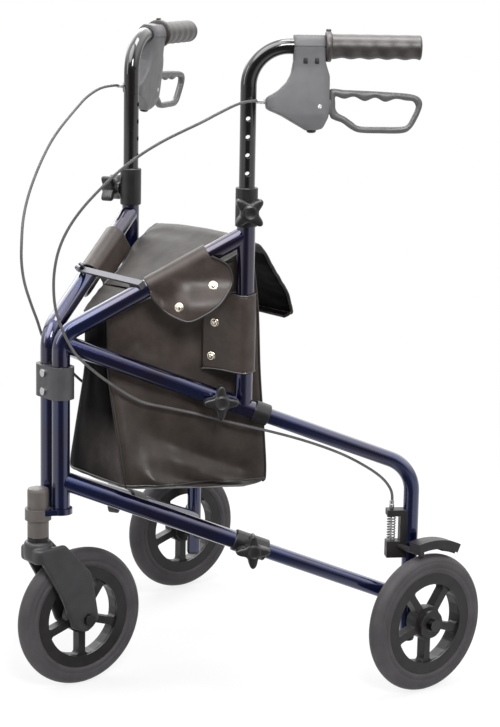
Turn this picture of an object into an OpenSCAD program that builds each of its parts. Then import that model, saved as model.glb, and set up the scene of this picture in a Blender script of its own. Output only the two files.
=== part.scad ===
// Three wheel rollator: two folding side frames on a front caster, with height-adjustable
// handles, loop brakes on the rear wheels and a bag between the frames.
// The front points along -Y. The floor is at zero height.

/* [Frame] */
// Outer diameter of the frame tubes
frame_tube_d = 25.4; // [24:0.1:27]
// Wall of every tube
tube_wall = 1.5; // [1:0.1:2]
// Angle between each side frame and the middle plane
splay_angle = 30; // [28:0.5:32]
// Distance between the two post axes
post_spacing = 30; // [29:0.5:34]
// Height of the lower end of the posts
post_foot_z = 269; // [262:1:280]
// Height where the upper tube's line meets the post axis
upper_corner_z = 513.5; // [505:0.5:525]
// Rise of the upper tube above the horizontal
upper_rise_angle = 29; // [26:0.5:32]
// Bend radius of the post
post_bend_r = 40; // [36:1:50]
// Height where the leg tube's line meets the post axis
leg_corner_z = 504; // [498:0.5:510]
// Height where the brace tube's line meets the post axis
brace_corner_z = 308; // [304:0.5:320]
// Fall of the leg and brace tubes below the horizontal
leg_drop_angle = 20.2; // [18:0.2:22]
// Distance along the side frame from post to upright
upright_u = 254.5; // [245:0.5:265]
// Height of the upper end of the upright
upright_top_z = 705; // [700:1:712]
// Distance along the side frame from post to rear leg
rear_leg_u = 499; // [485:1:515]
// Bend radius of the rear leg
leg_bend_r = 50; // [40:1:60]
// Height of the lower end of the rear leg
rear_leg_foot_z = 68; // [60:1:78]
// Distance along the side frame to the end of the outer leg tube
leg_sleeve_u = 280; // [276:1:288]
// Distance along the side frame to the end of the outer brace tube
brace_sleeve_u = 280; // [276:1:288]
// Length of inner tube that sits in the outer one
insert_l = 90; // [80:1:110]

/* [Wheels] */
// Diameter of the wheels over the tyre
wheel_d = 200; // [190:1:204]
// Width of the tyre
tyre_w = 26.8; // [24:0.2:30]
// Diameter of the rim under the tyre
rim_d = 148; // [140:1:154]
// Diameter over the windows between the spokes
window_d = 116; // [108:1:124]
// Number of spokes
spoke_count = 5; // [4:1:6]
// Width of a spoke
spoke_w = 11; // [8:0.5:14]
// Diameter of the hub
hub_d = 40; // [36:1:46]
// Width of the hub
hub_w = 32; // [30:0.5:36]
// Diameter of the axles
axle_d = 10; // [8:0.5:12]
// Outer diameter of the wheel bearings
bearing_d = 22; // [20:0.5:26]
// Width of a wheel bearing
bearing_w = 7; // [5:0.5:9]
// Distance from the rear leg axis to the middle of the rear wheel
wheel_offset = 37; // [36:0.5:42]

/* [Caster] */
// Distance from the swivel axis back to the front axle
caster_trail = 68.5; // [64:0.5:74]
// Distance of the swivel axis ahead of the posts
stem_ahead = 28; // [27:0.5:32]
// Outer diameter of the stem housing
stem_housing_d = 30; // [28:0.5:32]
// Height of the lower end of the stem housing
stem_housing_foot_z = 228; // [226:0.5:232]
// Height of the top of the stem housing
stem_housing_top_z = 298; // [290:1:310]
// Diameter of the swivel stem
stem_d = 16; // [14:0.5:18]
// Diameter of the fork crown
fork_crown_d = 40; // [38:0.5:46]
// Height of the top of the fork crown
fork_top_z = 222; // [219:0.5:223]
// Thickness of a fork leg
fork_leg_t = 8; // [6:0.5:10]

/* [Handles] */
// Height of the handle axis
handle_z = 912; // [900:1:930]
// Bend radius of the handle tube
handle_bend_r = 55; // [50:1:60]
// Height of the lower end of the handle tube
handle_foot_z = 560; // [550:1:580]
// Distance along the side frame to the start of the grip
grip_start_u = 366; // [362:1:372]
// Distance along the side frame to the end of the grip
grip_end_u = 489; // [480:1:500]
// Diameter of the grip
grip_d = 34; // [31:0.5:36]
// Spacing of the height holes
hole_pitch = 25; // [20:0.5:25.4]
// Number of height holes
hole_count = 7; // [4:1:7]
// Height of the knob that sets the handle height
height_knob_z = 688; // [684:0.5:694]
// Diameter over the arms of a knob
knob_d = 49; // [44:0.5:52]
// Diameter of a knob's stud
stud_d = 6.4; // [5:0.1:8]

/* [Brakes] */
// Length of the brake housing along the side frame
housing_l = 87; // [84:0.5:92]
// Height of the brake housing
housing_h = 129; // [126:0.5:134]
// Width of the brake housing
housing_w = 30; // [28:0.5:36]
// Length of the loop lever
lever_l = 125; // [120:0.5:135]
// Height of the loop lever
lever_h = 56; // [52:0.5:60]
// Thickness of the lever's bar
lever_bar = 9; // [7:0.5:10]
// Diameter of the brake cable
cable_d = 5; // [4:0.2:6]
// Turns of the brake spring
spring_turns = 9; // [6:1:11]
// Wire of the brake spring
spring_wire_d = 1.8; // [1.4:0.1:2.2]

/* [Bag] */
// Length of the bag from front to back
bag_l = 190; // [180:1:195]
// Width of the bag at the back
bag_w = 300; // [280:1:310]
// Height of the bag from its bottom to the back of its top
bag_h = 350; // [340:1:355]
// Height of the bottom of the bag
bag_foot_z = 288; // [286:1:296]
// Thickness of the bag's wall
bag_wall = 4; // [3:0.5:5]

/* [Hidden] */
$fn = 64;
// Runs past the faces that a cut goes through
overrun = 1;
// Gap at a welded or glued seat
seat_gap = 0.05;
// Radial gap of a telescoping tube
slide_gap = 0.08;
// Radial gap of a pin or shaft that turns
run_gap = 0.06;
// Gap between faces that move past each other
touch_gap = 0.3;
// Steps of a rounded corner, and how far along its sides it may reach
corner_steps = 6;
corner_limit_share = 0.46;
// Rise and half width of the seam where a bend ends
bend_seam = 0.05;

frame_tube_r = frame_tube_d / 2;
frame_bore_r = frame_tube_r - tube_wall;
inner_tube_r = frame_bore_r - slide_gap;
inner_bore_r = inner_tube_r - tube_wall;
// Offset past the other tube's axis where a coped tube starts
cope_start = 5;
wheel_r = wheel_d / 2;
hub_half_w = hub_w / 2;
axle_r = axle_d / 2;
stud_r = stud_d / 2;
knob_r = knob_d / 2;

// Middle of the rollator's length, with the post line as its origin
front_reach = caster_trail - stem_ahead - wheel_r;
rear_reach = rear_leg_u * cos(splay_angle) + wheel_r;
post_y = -(front_reach + rear_reach) / 2;
stem_y = post_y - stem_ahead;

// Heights on the lines of the three sloping tubes
leg_heading = 90 + leg_drop_angle;
upper_turn = 90 - upper_rise_angle;
leg_turn = 90 - leg_drop_angle;
function leg_z(u) = leg_corner_z - u * tan(leg_drop_angle);
function brace_z(u) = brace_corner_z - u * tan(leg_drop_angle);
function along_leg(u) = u / cos(leg_drop_angle);
post_tangent = post_bend_r * tan(upper_turn / 2);
leg_tangent = leg_bend_r * tan(leg_turn / 2);

// Knob places along the side frame
leg_knob_u = 220;
brace_knob_u = 268;
knob_neck_r = 9;
knob_neck_l = 7;
knob_head_t = 18;
knob_hub_r = 12;
knob_arm_w = 11;
knob_tip_r = 6.5;
knob_crown_t = 2.5;
// Depth of a clamping stud inside the inner tube
stud_depth = 8;

// Collars over the tube ends
collar_wall = 2.8;
collar_r = frame_tube_r + collar_wall;
collar_edge = 1.2;
upright_collar_below = 40;
upright_collar_above = 14;
leg_collar_below = 12;
leg_collar_above = 11;
brace_collar_below = 38;
brace_collar_above = 12;
foot_plug_flange = 4;
foot_plug_l = 22;

// Front column
clamp_foot_z = 425;
clamp_top_z = 470;
clamp_wall = 5.8;
clamp_screw_r = 3.2;
clamp_screw_head_r = 5.5;
clamp_screw_head_t = 3;
clamp_screw_spread = 13;
clamp_screw_l = 9;
bracket_t = 8;
bracket_wall = 3.5;
post_pin_l = 34;
housing_cap_t = 6;
housing_cap_r = 4;
stem_housing_wall = 3;
bush_l = 14;
bush_flange_t = 5;
stem_top_margin = 5;

// Fork
fork_side_gap = 1.5;
fork_inner = hub_half_w + fork_side_gap;
fork_outer = fork_inner + fork_leg_t;
tyre_clear = 6;
fork_drop = 42;
fork_bridge_h = 22;
fork_bridge_l = 34;
// Fork leg from the swivel axis (0) to the axle (1), and from the axle (0) to the crown top (1)
fork_leg_shares = [
    [-0.22, 0.93], [-0.10, 0.76], [0.40, 0.26], [0.62, -0.08], [0.98, -0.16],
    [1.27, -0.02], [1.16, 0.34], [1.08, 0.56], [0.44, 0.95]
];
fork_corner_r = 9;
axle_head_r = 8.5;
axle_head_t = 6;
axle_nut_t = 8;

// Wheel details
web_t = 15;
rim_w = 23;
hub_bore_r = axle_r + 2;
window_corner_r = 5;
hub_ring = 4;
// Tyre section: share of its depth from the rim, share of its half width
tyre_shares = [
    [0, 0.86], [0.14, 0.86], [0.20, 0.98], [0.34, 1], [0.38, 0.93], [0.44, 0.93], [0.48, 1],
    [0.62, 0.98], [0.76, 0.90], [0.88, 0.72], [0.96, 0.48], [1, 0.2]
];

// Height holes in the handle tube, counted from one hole below the knob
hole_r = 3.5;
grip_flange_r = 21;
grip_flange_w = 8;
grip_ridge = 1.4;
grip_fingers = 5;
grip_steps = 40;
grip_end_t = 3;

// Brake housing and lever
housing_nose_u = 277;
// Turn of a handle out past its side frame, and of a brake about its grip
handle_turn = 4;
brake_roll = 7;
// Rise of the housing's top over the handle's axis
housing_rise = 15;
housing_foot_z = handle_z + housing_rise - housing_h;
// Housing outline: share of its length from the nose, share of its height from its foot
housing_shares = [
    [0.44, 1], [0.45, 0.74], [0.39, 0.53], [0.21, 0.40], [0, 0.33], [0, 0.25], [0.40, 0.11],
    [0.70, 0], [0.91, 0.09], [1, 0.23], [0.98, 0.53], [0.915, 0.74], [0.915, 1]
];
housing_corner_r = 5;
housing_clamp_r = 17;
lever_pivot_u = 350;
lever_pivot_rise = 32;
lever_pivot_z = housing_foot_z + lever_pivot_rise;
lever_pin_r = 3;
lever_boss_r = 9;
lever_slot_r = 37;
lever_slot_gap = 0.8;
lever_start_u = 366;
lever_drop = 1;
lever_foot_z = housing_foot_z - lever_drop;
lever_corner_r = 9;
// Loop outline: share of its length from the housing, share of its height from its foot
lever_shares = [
    [0, 1], [0.79, 0.95], [0.95, 0.85], [1, 0.65], [0.93, 0.16], [0.80, 0.02], [0.52, 0],
    [0.24, 0.07], [0.06, 0.32], [0, 0.36]
];
lever_neck_h = 14;

// Rear brake: the arm's bowed band stands off the tyre, and its pivot lies under the band's inner face
arm_gap = 9;
arm_band_in_r = wheel_r + arm_gap;
arm_pivot_ahead = 18;
arm_pivot_in = 1.5;
arm_pivot_z = wheel_r + sqrt(pow(arm_band_in_r - arm_pivot_in, 2) - pow(arm_pivot_ahead, 2));
bracket_pivot_rise = 17;
bracket_h = 70;
bracket_foot_z = arm_pivot_z - bracket_pivot_rise;
bracket_top_z = bracket_foot_z + bracket_h;
brake_bracket_w = 18;
brake_bracket_l = 24;
bracket_spine_t = 5;
bracket_flange_t = 9;
bracket_base_t = 24;
arm_shaft_r = 4;
arm_shaft_in = 23;
arm_band_t = 13;
arm_band_w = 22;
arm_front_angle = 11.5;
arm_rear_angle = 27;
shoe_t = 3;
shoe_l = 26;
shoe_angle = 18;
arm_steps = 16;

// Brake spring between the bracket's base and its top flange, with the cable's wire through it
spring_ahead = 28;
spring_mean_r = 5.6;
spring_foot_z = bracket_foot_z + bracket_base_t + touch_gap;
spring_top_z = bracket_top_z - bracket_flange_t - touch_gap;
spring_rings = 8;
spring_sides = 6;
cable_wire_r = 0.9;
spring_pitch = (spring_top_z - spring_foot_z - spring_wire_d) / spring_turns;

// Brake cable, from the housing's nose to the brake bracket: outward, along the frame, height
cable_sides = 10;
cable_route = [
    [22.5, 273.5, 838], [29.3, 256, 839], [41, 235, 835.5], [49.5, 210, 824.5], [52, 184, 811],
    [52, 157, 798], [52, 130, 784], [52, 103, 767], [51, 76, 746], [50, 50, 721],
    [48, 26, 694], [45, 8, 667], [41, -4, 639], [38, -10, 610], [33, -11, 582],
    [25, -8, 554], [19, 0, 528], [17, 10, 506], [14, 22, 487], [8, 40, 469],
    [2, 68, 446], [0, 110, 420], [0, 150, 410], [0, 190, 401], [0, 235, 389],
    [0, 280, 378], [0, 325, 366], [0, 365, 353], [0, 400, 339], [0, 430, 323],
    [0, 452, 308], [0, 465, 294], [0, 471, 280], [0, 471, 260]
];
ferrule_r = 3.6;
ferrule_l = 12;

// Lock bar across the two upper tubes, in the plane of their axes
lock_u = 110;
lock_tilt = atan(tan(upper_rise_angle) / cos(splay_angle));
lock_x = post_spacing / 2 + lock_u * sin(splay_angle);
lock_y = post_y + lock_u * cos(splay_angle);
lock_z = upper_corner_z + lock_u * tan(upper_rise_angle);
tube_run = cos(splay_angle) * cos(upper_rise_angle) * cos(lock_tilt)
    + sin(upper_rise_angle) * sin(lock_tilt);
tube_skew = atan(sin(splay_angle) * cos(upper_rise_angle) / tube_run);
lock_bar_w = 10;
lock_bar_t = 3;
lock_plate_rise = 1.8;
lock_pin_rise = 6.8;
lock_pin_r = 2.5;
lock_knuckle_r = 5;
lock_lug_w = 4;
lock_lug_l = 9;
lock_hook_l = 26;
lock_hook_drop = 4.5;

// Bag between the side frames, measured from the post line
bag_front_y = 67;
// Rows from the bottom up: front, back, front width, back width, front height, back height
bag_row_shares = [
    [0.06, 0.97, 0.42, 0.92, 0.015, 0.012],
    [0.01, 1.03, 0.48, 1.00, 0.050, 0.055],
    [0.00, 1.03, 0.39, 0.975, 0.200, 0.220],
    [0.00, 1.015, 0.22, 0.92, 0.460, 0.470],
    [0.00, 1.005, 0.20, 0.885, 0.580, 0.740],
    [0.00, 0.97, 0.20, 0.84, 0.700, 0.975]
];
bag_corner_share = 0.12;
bag_mouth_share = 0.30;
// Lid from its hinge over the back: along the bag, height, width
lid_row_shares = [
    [0.29, 0.7823, 0.43], [0.50, 0.8419, 0.56], [0.72, 0.9042, 0.70], [0.90, 0.9553, 0.79],
    [0.98, 0.979, 0.80], [1.05, 0.950, 0.80], [1.12, 0.888, 0.80], [1.20, 0.832, 0.80],
    [1.265, 0.780, 0.80], [1.315, 0.715, 0.80], [1.31, 0.660, 0.78], [1.29, 0.632, 0.62]
];
lid_t = 7;
lid_gap = 0.4;

// Flap over the upper tube and strap round the upright
flap_t = 2.6;
flap_gap = 0.3;
flap_start_u = 134;
flap_end_u = 232;
flap_drop = 58;
flap_corner_r = 22;
strap_foot_z = 462;
strap_top_z = 570;
strap_reach = 58;
strap_lean = 33.8;

frame_blue = [0.10, 0.13, 0.36];
handle_black = [0.07, 0.07, 0.08];
fitting_grey = [0.33, 0.33, 0.35];
housing_grey = [0.53, 0.53, 0.55];
moulded_black = [0.12, 0.12, 0.12];
tyre_grey = [0.20, 0.20, 0.20];
steel = [0.72, 0.72, 0.74];
bag_black = [0.14, 0.13, 0.12];

// Outlines

function unit(v) = v / norm(v);
function wrap(list, i) = list[(i + len(list)) % len(list)];

// Points of a corner at b, between a and c, rounded to radius r as far as its sides allow
function corner(a, b, c, r) =
    let (p = unit(a - b), q = unit(c - b), half = acos(p * q) / 2)
    let (limit = min(norm(a - b), norm(c - b)) * corner_limit_share, reach = min(r / tan(half), limit))
    let (radius = reach * tan(half), mid = b + unit(p + q) * radius / sin(half))
    let (from = b + p * reach - mid, to = b + q * reach - mid)
    let (turn = atan2(from[0] * to[1] - from[1] * to[0], from * to))
    [for (k = [0 : corner_steps]) let (t = turn * k / corner_steps)
        mid + [from[0] * cos(t) - from[1] * sin(t), from[0] * sin(t) + from[1] * cos(t)]];

function rounded(points, r) = [for (i = [0 : len(points) - 1])
    each corner(wrap(points, i - 1), points[i], wrap(points, i + 1), r)];

// Shares of a size, measured from a start
function scaled(shares, size, start) =
    [for (s = shares) [start[0] + s[0] * size[0], start[1] + s[1] * size[1]]];

// Swept and lofted solids

// Faces of a tube or loft of closed rings, with both ends capped
function ring_faces(rings, sides) = concat(
    [for (i = [0 : rings - 2], k = [0 : sides - 1]) let (n = (k + 1) % sides)
        each [[i * sides + k, (i + 1) * sides + k, i * sides + n],
              [i * sides + n, (i + 1) * sides + k, (i + 1) * sides + n]]],
    [for (k = [1 : sides - 2]) [0, k, k + 1]],
    [for (k = [1 : sides - 2]) let (e = (rings - 1) * sides) [e, e + k + 1, e + k]]);

module loft(rings) {
    polyhedron(points = [for (r = rings) each r], faces = ring_faces(len(rings), len(rings[0])));
}

// Direction of a path at point i
function heading_at(path, i) =
    unit(path[min(i + 1, len(path) - 1)] - path[max(i - 1, 0)]);

// Side directions carried along a path so that the rings don't twist
function carried(path, side, i = 0) =
    let (t = heading_at(path, i), s = unit(side - (side * t) * t))
    i == len(path) - 1 ? [s] : concat([s], carried(path, s, i + 1));

// Rings of radius r round a path
function tube_rings(path, r, sides, side) =
    let (first = carried(path, side))
    [for (i = [0 : len(path) - 1]) let (t = heading_at(path, i), s = first[i], c = cross(t, s))
        [for (k = [0 : sides - 1]) let (a = 360 * k / sides) path[i] + r * (cos(a) * s + sin(a) * c)]];

// Places in the frame

module left_side() {
    translate([post_spacing / 2, post_y, 0]) rotate([0, 0, -splay_angle]) children();
}

module right_side() {
    mirror([1, 0, 0]) left_side() children();
}

// A place in the plane of a side frame, with its Z axis turned back by an angle
module heading(u, z, angle) {
    translate([0, u, z]) rotate([-angle, 0, 0]) children();
}

// Z axis outward from the side frame
module facing_out(u, z) {
    translate([0, u, z]) rotate([0, 90, 0]) children();
}

// X axis along the rear axle, outward
module at_rear_axle() {
    translate([0, rear_leg_u, wheel_r]) rotate([0, 0, splay_angle]) children();
}

module at_rear_wheel() {
    at_rear_axle() translate([wheel_offset, 0, 0]) rotate([0, 90, 0]) children();
}

module at_front_wheel() {
    translate([0, stem_y + caster_trail, wheel_r]) rotate([0, 90, 0]) children();
}

module at_lock() {
    translate([0, lock_y, lock_z]) rotate([lock_tilt, 0, 0]) children();
}

// Rods and tubes

// Quarter of a ring that starts upward at the origin and bends backward
module elbow(bend_r, angle, r) {
    rotate([90, 0, -90]) translate([-bend_r, 0, 0])
        rotate_extrude(angle = angle) translate([bend_r, 0]) circle(r = r);
}

module bent_rod(u, z, angle, first, bend_r, turn, last, r, extra = 0) {
    heading(u, z, angle) {
        translate([0, 0, -extra]) cylinder(r = r, h = first + extra);
        translate([0, 0, first]) {
            elbow(bend_r, turn, r);
            translate([0, bend_r, 0]) rotate([-turn, 0, 0]) translate([0, -bend_r, 0]) {
                cylinder(r = r, h = last + extra);
                translate([0, 0, -bend_seam]) cylinder(r = r + bend_seam, h = 2 * bend_seam);
            }
        }
    }
}

module post_rod(r, extra = 0) {
    first = upper_corner_z - post_foot_z - post_tangent;
    last = (upright_u - cope_start) / cos(upper_rise_angle) - post_tangent;
    bent_rod(0, post_foot_z, 0, first, post_bend_r, upper_turn, last, r, extra);
}

module leg_rod(r, extra = 0) {
    heading(cope_start, leg_z(cope_start), leg_heading) translate([0, 0, -extra])
        cylinder(r = r, h = along_leg(leg_sleeve_u - cope_start) + 2 * extra);
}

module brace_rod(r, extra = 0) {
    heading(cope_start, brace_z(cope_start), leg_heading) translate([0, 0, -extra])
        cylinder(r = r, h = along_leg(brace_sleeve_u - cope_start) + 2 * extra);
}

module upright_rod(r, extra = 0) {
    foot = leg_z(upright_u) + cope_start;
    translate([0, upright_u, foot - extra]) cylinder(r = r, h = upright_top_z - foot + 2 * extra);
}

module rear_leg_rod(r, extra = 0) {
    start = leg_sleeve_u - insert_l;
    first = along_leg(rear_leg_u - start) - leg_tangent;
    last = leg_z(rear_leg_u) - rear_leg_foot_z - leg_tangent;
    bent_rod(start, leg_z(start), leg_heading, first, leg_bend_r, leg_turn, last, r, extra);
}

module rear_brace_rod(r, extra = 0) {
    start = brace_sleeve_u - insert_l;
    heading(start, brace_z(start), leg_heading) translate([0, 0, -extra])
        cylinder(r = r, h = along_leg(rear_leg_u - cope_start - start) + 2 * extra);
}

// Hole for a knob's stud in the outer wall of a tube
module stud_hole(u, z) {
    facing_out(u, z) cylinder(r = stud_r + run_gap, h = collar_r + overrun);
}

// Side frame

module post_tube() {
    color(frame_blue) difference() {
        post_rod(frame_tube_r);
        post_rod(frame_bore_r, overrun);
        upright_rod(frame_tube_r + seat_gap, overrun);
    }
}

module leg_tube() {
    color(frame_blue) difference() {
        leg_rod(frame_tube_r);
        leg_rod(frame_bore_r, overrun);
        post_rod(frame_tube_r + seat_gap);
        stud_hole(leg_knob_u, leg_z(leg_knob_u));
    }
}

module brace_tube() {
    color(frame_blue) difference() {
        brace_rod(frame_tube_r);
        brace_rod(frame_bore_r, overrun);
        post_rod(frame_tube_r + seat_gap);
        stud_hole(brace_knob_u, brace_z(brace_knob_u));
    }
}

module upright_tube() {
    color(frame_blue) difference() {
        upright_rod(frame_tube_r);
        upright_rod(frame_bore_r, overrun);
        leg_rod(frame_tube_r + seat_gap);
        stud_hole(upright_u, height_knob_z);
    }
}

module rear_leg_tube() {
    color(frame_blue) difference() {
        rear_leg_rod(inner_tube_r);
        rear_leg_rod(inner_bore_r, overrun);
        stud_hole(leg_knob_u, leg_z(leg_knob_u));
        at_rear_axle() rotate([0, 90, 0])
            cylinder(r = axle_r + run_gap, h = 2 * (inner_tube_r + overrun), center = true);
    }
}

module rear_brace_tube() {
    color(frame_blue) difference() {
        rear_brace_rod(inner_tube_r);
        rear_brace_rod(inner_bore_r, overrun);
        rear_leg_rod(inner_tube_r + seat_gap);
        stud_hole(brace_knob_u, brace_z(brace_knob_u));
    }
}

// Collar round a tube end at the origin, with a lip round the inner tube
module collar(below, above, lip_r) {
    r = frame_tube_r + seat_gap;
    translate([0, 0, -below]) rotate_extrude() polygon([
        [r, 0], [collar_r - collar_edge, 0], [collar_r, collar_edge],
        [collar_r, below + above - collar_edge], [collar_r - collar_edge, below + above],
        [lip_r, below + above], [lip_r, below + seat_gap], [r, below + seat_gap]]);
}

module foot_plug() {
    r = inner_bore_r - seat_gap;
    translate([0, rear_leg_u, rear_leg_foot_z]) {
        cylinder(r = r, h = foot_plug_l);
        translate([0, 0, -foot_plug_flange])
            cylinder(r1 = r, r2 = inner_tube_r, h = foot_plug_flange - seat_gap);
        translate([0, 0, -seat_gap]) cylinder(r = r, h = seat_gap);
    }
}

module tube_fittings() {
    color(fitting_grey) {
        difference() {
            translate([0, upright_u, upright_top_z])
                collar(upright_collar_below, upright_collar_above, frame_bore_r);
            stud_hole(upright_u, height_knob_z);
        }
        heading(leg_sleeve_u, leg_z(leg_sleeve_u), leg_heading)
            collar(leg_collar_below, leg_collar_above, inner_tube_r + seat_gap);
        difference() {
            heading(brace_sleeve_u, brace_z(brace_sleeve_u), leg_heading)
                collar(brace_collar_below, brace_collar_above, inner_tube_r + seat_gap);
            stud_hole(brace_knob_u, brace_z(brace_knob_u));
        }
        foot_plug();
    }
}

// Four-armed clamping knob on a seat, with its stud running in to a tip
module knob(u, z, seat, tip, turn) {
    base = seat + touch_gap;
    head = base + knob_neck_l;
    arm = knob_r - knob_tip_r;
    color(fitting_grey) facing_out(u, z) rotate([0, 0, turn]) {
        translate([0, 0, tip]) cylinder(r = stud_r, h = head - tip);
        translate([0, 0, base]) cylinder(r = knob_neck_r, h = knob_neck_l);
        translate([0, 0, head]) {
            cylinder(r = knob_hub_r, h = knob_head_t + knob_crown_t);
            for (k = [0 : 3]) rotate([0, 0, 90 * k]) {
                translate([0, -knob_arm_w / 2, 0]) cube([arm, knob_arm_w, knob_head_t]);
                translate([arm, 0, 0]) cylinder(r = knob_tip_r, h = knob_head_t);
            }
        }
    }
}

module height_knob() {
    knob(upright_u, height_knob_z, collar_r, inner_tube_r + touch_gap, 45);
}

module leg_knob() {
    knob(leg_knob_u, leg_z(leg_knob_u), frame_tube_r, stud_depth, 0);
}

module brace_knob() {
    knob(brace_knob_u, brace_z(brace_knob_u), collar_r, stud_depth, 0);
}

// Wheels

tyre_depth = wheel_r - rim_d / 2 - seat_gap;
tyre_base_r = rim_d / 2 + seat_gap;

module tyre() {
    side = [for (s = tyre_shares) [tyre_base_r + s[0] * tyre_depth, s[1] * tyre_w / 2]];
    last = len(side) - 1;
    color(tyre_grey) rotate_extrude()
        polygon(concat(side, [for (i = [last : -1 : 0]) [side[i][0], -side[i][1]]]));
}

// Opening between two spokes
module window(thickness) {
    outer = window_d / 2;
    inner = hub_d / 2 + hub_ring;
    share = 180 / spoke_count;
    outer_half = share - asin(spoke_w / 2 / outer);
    inner_half = share - asin(spoke_w / 2 / inner);
    steps = [-1, -1 / 2, 0, 1 / 2, 1];
    points = concat(
        [for (s = steps) outer * [cos(s * outer_half), sin(s * outer_half)]],
        [for (s = steps) inner * [cos(s * inner_half), -sin(s * inner_half)]]);
    linear_extrude(height = thickness, center = true) polygon(rounded(points, window_corner_r));
}

module hub() {
    rim_r = rim_d / 2;
    color(moulded_black) difference() {
        union() {
            cylinder(r = hub_d / 2, h = hub_w, center = true);
            difference() {
                cylinder(r = rim_r - overrun, h = web_t, center = true);
                for (k = [0 : spoke_count - 1]) rotate([0, 0, 360 * (k + 1 / 2) / spoke_count])
                    window(web_t + 2 * overrun);
            }
            difference() {
                cylinder(r = rim_r, h = rim_w, center = true);
                cylinder(r = window_d / 2, h = rim_w + 2 * overrun, center = true);
            }
        }
        cylinder(r = hub_bore_r, h = hub_w + 2 * overrun, center = true);
        for (s = [-1, 1]) translate([0, 0, s * (hub_half_w - bearing_w / 2)])
            cylinder(r = bearing_d / 2 + seat_gap, h = bearing_w + 2 * seat_gap, center = true);
    }
}

module bearings() {
    color(steel) for (s = [-1, 1]) translate([0, 0, s * (hub_half_w - bearing_w / 2)]) difference() {
        cylinder(r = bearing_d / 2, h = bearing_w, center = true);
        cylinder(r = axle_r + run_gap, h = bearing_w + 2 * overrun, center = true);
    }
}

// Rear axle bolt with a shoulder between the leg and the wheel
module rear_axle() {
    inner_face = wheel_offset - hub_half_w - touch_gap;
    outer_face = wheel_offset + hub_half_w + touch_gap;
    head = inner_tube_r + seat_gap;
    color(steel) at_rear_axle() rotate([0, 90, 0]) {
        translate([0, 0, -head]) cylinder(r = axle_r, h = head + outer_face);
        translate([0, 0, -head - axle_head_t]) cylinder(r = axle_head_r, h = axle_head_t);
        translate([0, 0, head]) cylinder(r = axle_head_r, h = inner_face - head);
        translate([0, 0, outer_face]) cylinder(r = axle_head_r, h = axle_nut_t);
    }
}

// Caster

module caster_fork() {
    size = [caster_trail, fork_top_z - wheel_r];
    leg = rounded(scaled(fork_leg_shares, size, [stem_y, wheel_r]), fork_corner_r);
    color(moulded_black) difference() {
        union() {
            translate([0, stem_y, fork_top_z - fork_drop]) cylinder(r = fork_crown_d / 2, h = fork_drop);
            translate([-fork_outer, stem_y - fork_bridge_l / 2, fork_top_z - fork_bridge_h - fork_leg_t])
                cube([2 * fork_outer, fork_bridge_l, fork_bridge_h]);
            for (s = [-1, 1]) translate([s * (fork_inner + fork_leg_t / 2), 0, 0]) rotate([90, 0, 90])
                linear_extrude(height = fork_leg_t, center = true) polygon(leg);
        }
        at_front_wheel() cylinder(r = wheel_r + tyre_clear, h = 2 * fork_inner, center = true);
        at_front_wheel() cylinder(r = axle_r + run_gap, h = 2 * (fork_outer + overrun), center = true);
        translate([0, stem_y, fork_top_z - fork_drop - overrun])
            cylinder(r = stem_d / 2 + seat_gap, h = fork_drop + 2 * overrun);
    }
}

module caster_stem() {
    foot = fork_top_z - fork_bridge_h;
    top = stem_housing_top_z - housing_cap_t - stem_top_margin;
    color(steel) translate([0, stem_y, foot]) cylinder(r = stem_d / 2, h = top - foot);
}

module front_axle() {
    reach = fork_outer + seat_gap;
    color(steel) at_front_wheel() {
        cylinder(r = axle_r, h = 2 * reach, center = true);
        for (s = [-1, 1]) translate([0, 0, s * (reach + axle_head_t / 2)])
            cylinder(r = axle_head_r, h = axle_head_t, center = true);
    }
}

module stem_housing() {
    r = stem_housing_d / 2;
    bore = r - stem_housing_wall;
    h = stem_housing_top_z - stem_housing_foot_z;
    inside = h - housing_cap_t;
    color(fitting_grey) translate([0, stem_y, stem_housing_foot_z]) rotate_extrude() polygon([
        [bore, 0], [r, 0], [r, h - housing_cap_r], [r - housing_cap_r / 4, h - housing_cap_r / 4],
        [r - housing_cap_r, h], [0, h], [0, inside], [bore, inside]]);
}

module stem_bushes() {
    bore = stem_d / 2 + run_gap;
    outer = stem_housing_d / 2 - stem_housing_wall - seat_gap;
    flange = stem_housing_d / 2;
    top = stem_housing_top_z - housing_cap_t - stem_top_margin - bush_l;
    color(moulded_black) translate([0, stem_y, 0]) {
        translate([0, 0, fork_top_z + touch_gap]) rotate_extrude() polygon([
            [bore, 0], [flange, 0], [flange, bush_flange_t], [outer, bush_flange_t],
            [outer, bush_flange_t + bush_l], [bore, bush_flange_t + bush_l]]);
        translate([0, 0, top]) difference() {
            cylinder(r = outer, h = bush_l);
            translate([0, 0, -overrun]) cylinder(r = bore, h = bush_l + 2 * overrun);
        }
    }
}

// Front column

module caster_bracket() {
    post_r = frame_tube_r + bracket_wall;
    neck = stem_housing_d / 2 + bracket_wall;
    top = post_foot_z - touch_gap;
    color(frame_blue) difference() {
        union() {
            translate([0, post_y, top - bracket_t]) {
                for (s = [-1, 1]) translate([s * post_spacing / 2, 0, 0]) {
                    cylinder(r = post_r, h = bracket_t);
                    cylinder(r = frame_bore_r - run_gap, h = bracket_t + post_pin_l);
                }
                linear_extrude(height = bracket_t) polygon([
                    [-post_spacing / 2, post_r], [-post_spacing / 2 - post_r, 0], [-neck, -stem_ahead],
                    [neck, -stem_ahead], [post_spacing / 2 + post_r, 0], [post_spacing / 2, post_r]]);
                translate([0, -stem_ahead, -bracket_t]) cylinder(r = neck, h = 2 * bracket_t);
            }
        }
        translate([0, stem_y, stem_housing_foot_z])
            cylinder(r = stem_housing_d / 2 + seat_gap, h = stem_housing_top_z - stem_housing_foot_z);
    }
}

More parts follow.
